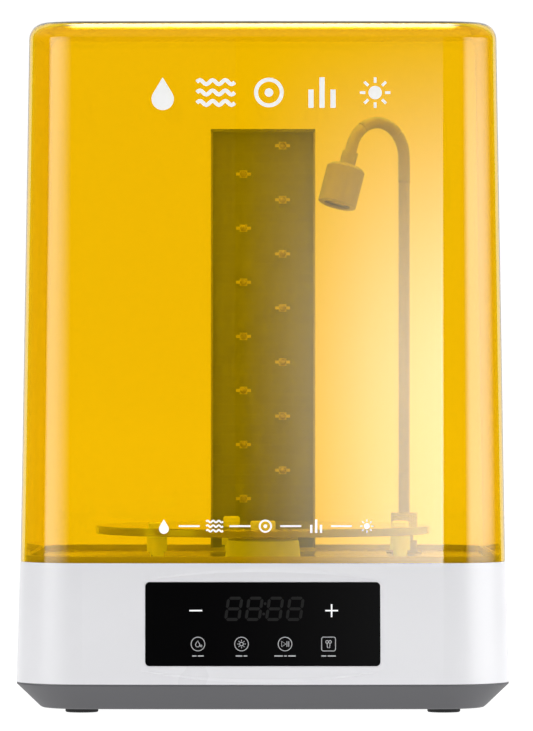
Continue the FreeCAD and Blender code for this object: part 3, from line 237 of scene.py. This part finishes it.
brass = metal("bush_brass", (0.72, 0.52, 0.22), 0.25)
glass_black = plastic("panel_gloss", (0.002, 0.002, 0.0022), 0.08, grain=400.0, relief=0.001,
                      mottle=0.0)
shader_of(glass_black).inputs["Specular IOR Level"].default_value = 0.03
board_green = circuit_board("board_green", (0.02, 0.12, 0.05), (0.10, 0.22, 0.06))
board_olive = circuit_board("board_olive", (0.32, 0.375, 0.165), (0.36, 0.42, 0.19))
package = plastic("led_package", (0.72, 0.72, 0.50), 0.35)
tinned = metal("tinned_lead", (0.80, 0.78, 0.68), 0.35)
dome_clear = clear("led_dome", (0.90, 0.87, 0.66), 0.10)
shader_of(dome_clear).inputs["Transmission Weight"].default_value = 0.35
disc_clear = clear("clear_acrylic", (0.93, 0.95, 0.92), 0.06, waviness=0.05)
shader_of(disc_clear).inputs["Transmission Weight"].default_value = 0.6
milky_painted_glow = plastic("milky_plastic_painted_glow", (0.86, 0.86, 0.83), 0.36)
# Painted glow: a weak emission on this plastic brightens the parts under the hood that give no light
# of their own.
shader_of(milky_painted_glow).inputs["Emission Color"].default_value = (0.95, 0.95, 0.90, 1.0)
shader_of(milky_painted_glow).inputs["Emission Strength"].default_value = 0.22
lens_clear = clear("lamp_lens", (0.96, 0.97, 1.0), 0.15)
amber = clear("amber_acrylic", AMBER, 0.0, waviness=0.04)
depth = node_of(amber, "ShaderNodeVolumeAbsorption", Color=(0.9844, 0.9519, 0.0, 1.0),
                Density=AMBER_DEPTH)
amber.node_tree.links.new(depth.outputs["Volume"],
                          amber.node_tree.nodes["Material Output"].inputs["Volume"])

dress(white, "base_shell")
dress(charcoal, "bottom_pan")
dress(deck_grey, "deck_plate")
dress(rubber, "rubber_feet", "wiring")
dress(seal_rubber, "deck_seal", "touch_pads")
dress(glass_black, "control_panel")
dress(board_green, "display_board", "main_board", "lamp_board")
dress(board_olive, "led_board", "column_cap")
dress(black, "display_module", "board_components", "power_socket", "switch_body", "power_rocker",
      "magnet_disc")
dress(steel, "motor_bracket", "drive_motor", "motor_shaft", "base_screws",
      "turntable_axle", "idler_pins", "wheel_axles", "lamp_nut")
dress(nickel, "drive_magnets", "rotor_magnets")
dress(aluminium, "column_housing")
dress(brass, "turntable_bush")
dress(package, "led_packages", "lamp_led")
dress(tinned, "led_leads")
dress(dome_clear, "led_domes")
dress(lens_clear, "lamp_lens")
dress(neck_cover, "lamp_pole", "neck_link_1", "neck_link_2")
dress(lamp_shell, "lamp_sleeve", "lamp_head_shell", "lamp_bezel", "lamp_socket", "lamp_plug")
dress(pale, "column_foot", "gear_plate")
# The wheels, turntable housing, centre cap and feet carry the painted glow of the milky plastic.
dress(milky_painted_glow, "wheel_1", "wheel_2", "wheel_3", "turntable_housing", "centre_cap", "turntable_feet",
      "foot_caps")
dress(gear_white, "magnetic_rotor", "idler_gear_1", "idler_gear_2", "idler_gear_3", "turntable_hub")
dress(disc_clear, "turntable_disc")
dress(amber, "hood")


# ---------------------------------------------------------------- mesh helpers

def mesh_object(name, vertices, faces, material, smooth=False):
    data = bpy.data.meshes.new(name)
    data.from_pydata([tuple(v) for v in vertices], [], faces)
    data.materials.append(material)
    if smooth:
        data.polygons.foreach_set("use_smooth", [True] * len(data.polygons))
    made = bpy.data.objects.new(name, data)
    bpy.context.scene.collection.objects.link(made)
    return made


def tube(name, points, radius, material, sides=28):
    """A round tube along points, each ring square to the path."""
    vertices = []
    side = (points[1] - points[0]).cross(Vector((0.3, 0.9, 0.1))).normalized()
    for k, point in enumerate(points):
        ahead = points[min(k + 1, len(points) - 1)] - points[max(k - 1, 0)]
        ahead.normalize()
        side = (side - ahead * side.dot(ahead)).normalized()
        other = ahead.cross(side)
        for s in range(sides):
            turn = 2 * math.pi * s / sides
            vertices.append(point + (side * math.cos(turn) + other * math.sin(turn)) * radius)
    faces = []
    for k in range(len(points) - 1):
        for s in range(sides):
            t = (s + 1) % sides
            faces.append((k * sides + s, k * sides + t, (k + 1) * sides + t, (k + 1) * sides + s))
    faces.append(tuple(reversed(range(sides))))
    faces.append(tuple(range(len(vertices) - sides, len(vertices))))
    made = mesh_object(name, vertices, faces, material, smooth=True)
    for end in (len(faces) - 2, len(faces) - 1):
        made.data.polygons[end].use_smooth = False
    return made


def strip(points, width, closed=False):
    """Outline pairs either side of a line of flat points, for a mark drawn as one stroke."""
    count = len(points)
    quads = []
    sides = []
    for k, (x, y) in enumerate(points):
        before = points[(k - 1) % count] if closed or k else points[k]
        after = points[(k + 1) % count] if closed or k < count - 1 else points[k]
        along = Vector((after[0] - before[0], after[1] - before[1])).normalized()
        across = Vector((-along.y, along.x)) * width / 2
        sides.append(((x + across.x, y + across.y), (x - across.x, y - across.y)))
    for k in range(count if closed else count - 1):
        a, b = sides[k], sides[(k + 1) % count]
        quads.append((a[0], a[1], b[1], b[0]))
    return quads


def ring_points(x, y, radius, count=40, first=0.0, sweep=360.0):
    """Points round a circle, or along part of it."""
    steps = count if sweep >= 360.0 else count + 1
    return [(x + radius * math.cos(math.radians(first + sweep * k / count)),
             y + radius * math.sin(math.radians(first + sweep * k / count))) for k in range(steps)]


def bar(x, y, wide, high, cells=1):
    """A bar about its centre, cut into cells so that it can follow a curve."""
    quads = []
    for k in range(cells):
        left = x - wide / 2 + wide * k / cells
        right = x - wide / 2 + wide * (k + 1) / cells
        low, high_y = y - high / 2, y + high / 2
        quads.append(((left, low), (right, low), (right, high_y), (left, high_y)))
    return quads


def disc_quads(x, y, radius, count=24):
    edge = ring_points(x, y, radius, count)
    return [((x, y), edge[k], edge[(k + 1) % count]) for k in range(count)]


def printed(name, shapes, place, material, thick):
    """A thin print: flat shapes carried onto a surface, and given a thickness outwards."""
    vertices = []
    faces = []
    for shape in shapes:
        first = len(vertices)
        count = len(shape)
        lifted = [place(x, y) for x, y in shape]
        vertices += [point for point, normal in lifted]
        vertices += [point + normal * thick for point, normal in lifted]
        faces.append(tuple(first + k for k in reversed(range(count))))
        faces.append(tuple(first + count + k for k in range(count)))
        for k in range(count):
            m = (k + 1) % count
            faces.append((first + k, first + m, first + count + m, first + count + k))
    made = mesh_object(name, vertices, faces, material)
    tidy = bmesh.new()
    tidy.from_mesh(made.data)
    bmesh.ops.recalc_face_normals(tidy, faces=tidy.faces)
    tidy.to_mesh(made.data)
    tidy.free()
    return made


# ---------------------------------------------------------------- marks on the touch panel

panel_centre, panel_normal = face_towards("control_panel", (0, -1, 0))
panel_up = (Vector((0, 0, 1)) - panel_normal * panel_normal.z).normalized()
# Prints stand this far off the surface, so that the two never share a plane.
PRINT_LIFT = 0.02 * MM
PRINT_THICK = 0.04 * MM
SEGMENT_THICK = 0.03 * MM


def on_panel(x, y):
    """A point on the glass, from millimetres right of and above its middle."""
    point = panel_centre + Vector((x * MM, 0, 0)) + panel_up * y * MM
    return point + panel_normal * PRINT_LIFT, panel_normal


def segment_digit(x, y, wide, high, lean, stroke):
    """Seven slanted segments with mitred gaps."""
    gap = stroke * 0.16
    half = high / 2

    def slanted(px, py):
        return (x + px + lean * py / high, y + py)

    def level(py):
        left, right = -wide / 2 + gap, wide / 2 - gap
        h = stroke / 2
        return [slanted(left, py), slanted(left + h, py - h), slanted(right - h, py - h),
                slanted(right, py), slanted(right - h, py + h), slanted(left + h, py + h)]

    def upright(px, low, high_y):
        low += gap
        high_y -= gap
        h = stroke / 2
        return [slanted(px, low), slanted(px + h, low + h), slanted(px + h, high_y - h),
                slanted(px, high_y), slanted(px - h, high_y - h), slanted(px - h, low + h)]

    return [level(half), upright(wide / 2, 0, half), upright(wide / 2, -half, 0), level(-half),
            upright(-wide / 2, -half, 0), upright(-wide / 2, 0, half), level(0)]


ghost = plastic("unlit_segment", (0.011, 0.011, 0.011), 0.5, mottle=0.1)
shader_of(ghost).inputs["Specular IOR Level"].default_value = 0.1
# Painted glow: the white print of the minus and plus signs has a weak emission, though it gives no
# light.
painted_glow_ink = principled("panel_ink_painted_glow", (0.82, 0.83, 0.85), 0.45, Emission_Color=(0.85, 0.86, 0.9, 1.0),
                 Emission_Strength=0.25)
ink_grain = noise(painted_glow_ink, 3000.0, 1.0)
bump(painted_glow_ink, ink_grain.outputs["Fac"], 0.1, 0.01 * MM)
soft_ink = principled("panel_ink_soft", (0.50, 0.51, 0.53), 0.5)
soft_grain = noise(soft_ink, 3000.0, 1.0)
bump(soft_ink, soft_grain.outputs["Fac"], 0.1, 0.01 * MM)

DIGIT_PITCH = 12.7
DIGIT_WIDE = 8.2
DIGIT_HIGH = 13.2
DIGIT_LEAN = 1.9
DIGIT_STROKE = 1.9
CLOCK_X = 1.0
CLOCK_Y = 9.5
COLON_RISE = 3.2
COLON_LEAN = 0.14
COLON_RADIUS = 0.9
FOUR_PLACES = (-1.5, -0.5, 0.5, 1.5)
digits = []
for k in FOUR_PLACES:
    digits += segment_digit(CLOCK_X + k * DIGIT_PITCH, CLOCK_Y, DIGIT_WIDE, DIGIT_HIGH, DIGIT_LEAN,
                            DIGIT_STROKE)
for dy in (-COLON_RISE, COLON_RISE):
    digits += disc_quads(CLOCK_X + dy * COLON_LEAN, CLOCK_Y + dy, COLON_RADIUS)
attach(printed("clock_segments", digits, on_panel, ghost, SEGMENT_THICK), "base")

MINUS_X = -41.6
PLUS_X = 42.7
SIGN_Y = 8.4
SIGN_LONG = 8.0
SIGN_STROKE = 0.95
signs = bar(MINUS_X, SIGN_Y, SIGN_LONG, SIGN_STROKE)
signs += bar(PLUS_X, SIGN_Y, SIGN_LONG, SIGN_STROKE)
signs += bar(PLUS_X, SIGN_Y, SIGN_STROKE, SIGN_LONG)
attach(printed("minus_and_plus", signs, on_panel, painted_glow_ink, PRINT_THICK), "base")

KEY_PITCH = 27.0
KEY_Y = -12.3
KEYS_X = 0.3
KEY_RADIUS = 4.25
drop_x, sun_x, play_x, lamp_x = (k * KEY_PITCH + KEYS_X for k in FOUR_PLACES)
LINE = 0.42


def drop_outline(x, y, size):
    """A water drop: a round foot drawn up to a point."""
    points = ring_points(x, y - size * 0.2, size * 0.62, 20, 150.0, 240.0)
    return points + [(x, y + size)]


key_marks = []
for x in (drop_x, sun_x, play_x):
    key_marks += strip(ring_points(x, KEY_Y, KEY_RADIUS), LINE, closed=True)
SQUARE_SIDE = 3.1
SQUARE_CORNER = 1.2
square = []
for cx, cy, first in ((1, 1, 0), (-1, 1, 90), (-1, -1, 180), (1, -1, 270)):
    square += ring_points(lamp_x + cx * SQUARE_SIDE, KEY_Y + cy * SQUARE_SIDE, SQUARE_CORNER, 6, first,
                          90.0)
key_marks += strip(square, LINE, closed=True)
key_marks += strip(drop_outline(drop_x - 0.2, KEY_Y - 0.1, 2.1), LINE, closed=True)
key_marks += strip(ring_points(drop_x + 1.9, KEY_Y - 1.2, 0.55, 8), LINE * 0.8, closed=True)
key_marks += strip(ring_points(sun_x, KEY_Y, 1.15, 20), LINE, closed=True)
for k in range(8):
    ray = math.radians(45 * k)
    key_marks += strip([(sun_x + r * math.cos(ray), KEY_Y + r * math.sin(ray)) for r in (1.75, 2.6)],
                       LINE)
key_marks += strip([(play_x - 2.1, KEY_Y - 1.7), (play_x - 2.1, KEY_Y + 1.7),
                    (play_x + 0.5, KEY_Y)], LINE, closed=True)
for offset in (1.2, 2.3):
    key_marks += bar(play_x + offset, KEY_Y, LINE, 3.4)
key_marks += strip(ring_points(lamp_x - 0.9, KEY_Y + 1.3, 0.85, 14), LINE, closed=True)
key_marks += strip(ring_points(lamp_x + 0.9, KEY_Y + 1.3, 0.85, 14), LINE, closed=True)
key_marks += strip([(lamp_x - 0.9, KEY_Y + 0.2), (lamp_x - 0.7, KEY_Y - 2.3),
                    (lamp_x + 0.7, KEY_Y - 2.3), (lamp_x + 0.9, KEY_Y + 0.2)], LINE)
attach(printed("key_marks", key_marks, on_panel, soft_ink, PRINT_THICK), "base")

BARS_UNDER = 7.4
BAR_GAP = 0.9
BAR_HIGH = 0.7
name_bars = []
for x, lengths in ((drop_x, (2.6, 3.6)), (sun_x, (4.0, 2.2)), (play_x, (5.2, 1.6, 4.6)),
                   (lamp_x, (3.0, 5.0))):
    total = sum(lengths) + BAR_GAP * (len(lengths) - 1)
    left = x - total / 2
    for length in lengths:
        name_bars += bar(left + length / 2, KEY_Y - BARS_UNDER, length, BAR_HIGH)
        left += length + BAR_GAP
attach(printed("key_bars", name_bars, on_panel, soft_ink, PRINT_THICK), "base")


# ---------------------------------------------------------------- marks on the hood

hood_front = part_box("hood")[0].y
RAY_START = 0.05
HOOD_THICK = 0.05 * MM


def on_hood(x, z):
    """The point of the hood's outer front at a place given in millimetres in the frame."""
    start = Vector((x * MM, hood_front - RAY_START, z * MM))
    point, normal = nodes["hood"].ray_cast(start, Vector((0, 1, 0)))[1:3]
    return point + normal * PRINT_LIFT, normal


hood_ink_painted_glow = plastic("hood_print_painted_glow", (0.90, 0.90, 0.89), 0.4, mottle=0.01)
# Painted glow: the white print on the hood has a weak emission, though it gives no light.
shader_of(hood_ink_painted_glow).inputs["Emission Color"].default_value = (1.0, 1.0, 1.0, 1.0)
shader_of(hood_ink_painted_glow).inputs["Emission Strength"].default_value = 0.25


def drop_shape(x, y, tall):
    """A filled water drop, as a fan of triangles."""
    edge = drop_outline(x, y - tall * 0.09, tall * 0.59)
    return [((x, y - tall * 0.2), edge[k], edge[(k + 1) % len(edge)]) for k in range(len(edge))]


def sun_shape(x, y, tall):
    """A disc with eight rays."""
    shapes = disc_quads(x, y, tall * 0.22)
    for k in range(8):
        way = Vector((math.cos(math.radians(45 * k)), math.sin(math.radians(45 * k))))
        ends = [(x + way.x * r * tall, y + way.y * r * tall) for r in (0.32, 0.5)]
        shapes += strip(ends, tall * 0.09)
    return shapes


def wave_shape(x, y, tall):
    """Three wavy lines, one above another."""
    shapes = []
    for row in (-1, 0, 1):
        line = [(x + tall * 0.62 * (k / 12 - 1),
                 y + tall * (0.34 * row + 0.07 * math.sin(k * math.pi / 4))) for k in range(25)]
        shapes += strip(line, tall * 0.13)
    return shapes


def turn_shape(x, y, tall):
    """A round table seen from above: a ring about a disc."""
    ring = strip(ring_points(x, y, tall * 0.42), tall * 0.13, closed=True)
    return ring + disc_quads(x, y, tall * 0.14)


def column_shape(x, y, tall):
    """Upright bars of three heights."""
    shapes = []
    for step, part in ((-1, 0.6), (0, 1.0), (1, 0.6)):
        shapes += bar(x + step * tall * 0.36, y - tall * (1 - part) / 2, tall * 0.17, tall * part)
    return shapes


PICTOGRAMS = (drop_shape, wave_shape, turn_shape, column_shape, sun_shape)
TOP_X = 3.8
TOP_Z = 386.5
TOP_PITCH = 33.0
TOP_TALL = 19.0
top_marks = []
for k, shape in enumerate(PICTOGRAMS):
    top_marks += shape(TOP_X + (k - 2) * TOP_PITCH, TOP_Z, TOP_TALL)
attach(printed("hood_marks_top", top_marks, on_hood, hood_ink_painted_glow, HOOD_THICK), "hood")
LOW_X = 1.6
LOW_Z = 117.3
LOW_PITCH = 31.5
LOW_TALL = 8.4
DASH_LONG = 13.0
DASH_HIGH = 1.1
low_marks = []
for k, shape in enumerate(PICTOGRAMS):
    low_marks += shape(LOW_X + (k - 2) * LOW_PITCH, LOW_Z, LOW_TALL)
    if k:
        low_marks += bar(LOW_X + (k - 2.5) * LOW_PITCH, LOW_Z, DASH_LONG, DASH_HIGH, cells=3)
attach(printed("hood_marks_low", low_marks, on_hood, hood_ink_painted_glow, HOOD_THICK), "hood")


# ---------------------------------------------------------------- lamp neck

bends = [Vector(joint("neck_bend_" + part)["pos_m"]) for part in ("lower", "top", "head")]
outward = bends[2] - bends[0]
outward.z = 0
outward.normalize()
arch_radius = (bends[1] - bends[0]).dot(outward)
arch_centre = bends[0] + outward * arch_radius
end_angle = math.asin((bends[2].z - arch_centre.z) / arch_radius)


def arch_point(angle):
    rise = Vector((0, 0, arch_radius * math.sin(angle)))
    return arch_centre + outward * arch_radius * math.cos(angle) + rise


def arch_run(first, last, steps):
    return [arch_point(first + (last - first) * k / steps) for k in range(steps + 1)]


def arch_way(angle):
    """The direction of the arch at an angle, from the pole towards the head."""
    return outward * math.sin(angle) - Vector((0, 0, math.cos(angle)))


NECK_RADIUS = 3.75 * MM
POLE_LAP = 0.016
POLE_STEP = 0.002
HEAD_STEP = 0.0015
middle_1 = math.radians(135)
middle_2 = (math.radians(90) + end_angle) / 2
lower_path = [bends[0] - Vector((0, 0, POLE_LAP - POLE_STEP * k)) for k in range(8)]
lower_path += arch_run(math.pi, middle_1, 12)
upper_path = arch_run(middle_1, middle_2, 24)
end_path = arch_run(middle_2, end_angle, 10)
end_path += [bends[2] + arch_way(end_angle) * HEAD_STEP * k for k in range(1, 5)]
# Each length of cover, the bodies it joins, the bend's angle on the arch, and how far before and
# after the bend the blend runs.
covers = (
    ("neck_cover_lower", lower_path, ("lamp_stand", "neck_lower"), math.pi, (-0.006, 0.008)),
    ("neck_cover_top", upper_path, ("neck_lower", "neck_upper"), math.pi / 2, (-0.010, 0.010)),
    ("neck_cover_end", end_path, ("neck_upper", "lamp_head"), end_angle, (-0.008, 0.004)),
)
for bend, (name, path, bodies, angle, span) in zip(bends, covers):
    cover = tube(name, path, NECK_RADIUS, neck_cover)
    way = arch_way(angle)
    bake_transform(cover)
    if name == "neck_cover_lower":
        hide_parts("neck_link_1")
    if name == "neck_cover_end":
        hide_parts("neck_link_2")


# ---------------------------------------------------------------- stage, light and camera

# The floor and the far wall light the object. A round cove closes the room. It is seen directly and
# through clear parts, so it lights what stands inside the hood, but it neither lights the outside
# nor shows in its gloss.
floor_material = principled("studio_floor", (0.10, 0.10, 0.10), 0.9,
                            Emission_Color=(1.0, 1.0, 1.0, 1.0), Emission_Strength=1.0)
floor_grain = noise(floor_material, 30.0, 2.0)
vary(floor_material, "Roughness", floor_grain.outputs["Fac"], 0.85, 0.95)
FLOOR_HALF = 2.4
WALL_SPREAD = 0.96
WALL_Y = 20.0
WALL_BEND = 7.2
WALL_TOP = 25.6
FLOOR_FRONT = -0.5


def upturn(reach, drop=0.0):
    """A floor's curve up into a wall that stands at a distance, and the wall's top."""
    turn = [math.radians(a) for a in range(0, 91, 6)]
    curve = [(reach - WALL_BEND + WALL_BEND * math.sin(a), WALL_BEND - WALL_BEND * math.cos(a) - drop)
             for a in turn]
    return curve + [(reach, WALL_TOP)]


profile = [(FLOOR_FRONT, 0.0), (FLOOR_HALF / WALL_SPREAD, 0.0)] + upturn(WALL_Y)
sweep_vertices = [(side * max(FLOOR_HALF, WALL_SPREAD * y), y, z)
                  for y, z in profile for side in (-1, 1)]
sweep_faces = [(2 * k, 2 * k + 1, 2 * k + 3, 2 * k + 2) for k in range(len(profile) - 1)]
mesh_object("studio_sweep", sweep_vertices, sweep_faces, floor_material, smooth=True)

COVE_RADIUS = 24.0
COVE_SIDES = 72
COVE_DROP = 0.002
COVE_CENTRE = 0.01
outline = [(COVE_CENTRE, -COVE_DROP)] + upturn(COVE_RADIUS, COVE_DROP)
turns = [2 * math.pi * k / COVE_SIDES for k in range(COVE_SIDES)]
cove_vertices = [(r * math.cos(t), r * math.sin(t), z) for r, z in outline for t in turns]
cove_faces = [(row * COVE_SIDES + k, row * COVE_SIDES + (k + 1) % COVE_SIDES,
               (row + 1) * COVE_SIDES + (k + 1) % COVE_SIDES, (row + 1) * COVE_SIDES + k)
              for row in range(len(outline) - 1) for k in range(COVE_SIDES)]
cove = mesh_object("studio_cove", cove_vertices, cove_faces, floor_material, smooth=True)
cove.visible_diffuse = False
cove.visible_glossy = False
cove.visible_shadow = False


def softbox(name, place, aim, wide, high, radiance, fades, through=False):
    """A glowing panel that dims towards its left, right, lower and upper edges.

    The sides are as seen from behind it, looking at the machine. Each fade is the share of the
    panel's width or height that the dimming takes. Only a panel with through set is seen, and
    lights what is behind it, through clear parts.
    """
    material = bpy.data.materials.new(name)
    material.use_nodes = True
    tree = material.node_tree
    tree.nodes.clear()
    place_on = tree.nodes.new("ShaderNodeTexCoord")
    split = tree.nodes.new("ShaderNodeSeparateXYZ")
    tree.links.new(place_on.outputs["Generated"], split.inputs["Vector"])
    level = None
    for axis, first, last in (("X", 0.0, fades[0]), ("X", 1.0, 1.0 - fades[1]),
                              ("Y", 0.0, fades[2]), ("Y", 1.0, 1.0 - fades[3])):
        span = tree.nodes.new("ShaderNodeMapRange")
        span.interpolation_type = "SMOOTHSTEP"
        span.inputs["From Min"].default_value = first
        span.inputs["From Max"].default_value = last
        tree.links.new(split.outputs[axis], span.inputs["Value"])
        product = tree.nodes.new("ShaderNodeMath")
        product.operation = "MULTIPLY"
        product.inputs[0].default_value = radiance
        if level:
            tree.links.new(level, product.inputs[0])
        tree.links.new(span.outputs["Result"], product.inputs[1])
        level = product.outputs["Value"]
    glow = tree.nodes.new("ShaderNodeEmission")
    out = tree.nodes.new("ShaderNodeOutputMaterial")
    tree.links.new(level, glow.inputs["Strength"])
    tree.links.new(glow.outputs["Emission"], out.inputs["Surface"])
    corners = [(sx * wide / 2, sy * high / 2, 0) for sx, sy in ((-1, -1), (1, -1), (1, 1), (-1, 1))]
    panel = mesh_object(name, corners, [(0, 1, 2, 3)], material)
    panel.location = place
    panel.rotation_euler = (Vector(aim) - Vector(place)).to_track_quat("-Z", "Y").to_euler()
    panel.visible_camera = False
    panel.visible_transmission = through


SOFT_EDGES = (0.3, 0.3, 0.3, 0.3)
centre = (cad_box[0] + cad_box[1]) / 2
level_aim = (0.0, -0.12, 0.36)
softbox("side_left", (-1.2, -0.93, 0.36), level_aim, 1.36, 0.85, 4.4, (0.15, 0.7, 0.2, 0.2))
softbox("side_right", (1.45, -0.3, 0.36), level_aim, 2.0, 0.75, 6.2, (0.22, 0.55, 0.2, 0.5))
softbox("front_right", (0.325, -4.5, 0.35), (0.325, 0.0, 0.35), 0.85, 0.9, 12.5,
        (1.0, 0.18, 0.22, 0.55))
softbox("front_low", (0.0, -4.5, -0.45), (0.0, 0.0, -0.45), 1.1, 0.6, 6.0, (0.3, 0.3, 0.2, 0.2))
softbox("top", (0.0, 0.0, 1.9), centre, 1.6, 1.4, 12.0, SOFT_EDGES, through=True)

# The room glows softly from a little above the horizon upwards.
world = bpy.data.worlds.new("studio")
world.use_nodes = True
tree = world.node_tree
way = tree.nodes.new("ShaderNodeTexCoord")
split = tree.nodes.new("ShaderNodeSeparateXYZ")
rise = tree.nodes.new("ShaderNodeMapRange")
rise.interpolation_type = "SMOOTHSTEP"
for socket, value in (("From Min", 0.10), ("From Max", 0.40), ("To Min", 0.04), ("To Max", 0.35)):
    rise.inputs[socket].default_value = value
tree.links.new(way.outputs["Generated"], split.inputs["Vector"])
tree.links.new(split.outputs["Z"], rise.inputs["Value"])
tree.links.new(rise.outputs["Result"], tree.nodes["Background"].inputs["Strength"])
tree.nodes["Background"].inputs["Color"].default_value = (1.0, 1.0, 1.0, 1.0)
bpy.context.scene.world = world
bpy.context.scene.view_settings.view_transform = "Standard"

CAMERA_BACK = 4.334
CAMERA_X = 2.8 * MM
HORIZON_Z = 0.2303
LENS_MM = 333.6
SENSOR_MM = 36.0
SHIFT_X = -0.0011
SHIFT_Y = -0.0294
CLIP_END = 100.0
camera_data = bpy.data.cameras.new("camera")
camera_data.lens = LENS_MM
camera_data.sensor_width = SENSOR_MM
camera_data.shift_x = SHIFT_X
camera_data.shift_y = SHIFT_Y
camera_data.clip_end = CLIP_END
camera = bpy.data.objects.new("camera", camera_data)
camera.location = (CAMERA_X, -CAMERA_BACK, HORIZON_Z)
camera.rotation_euler = (math.pi / 2, 0.0, 0.0)
bpy.context.scene.collection.objects.link(camera)
bpy.context.scene.camera = camera
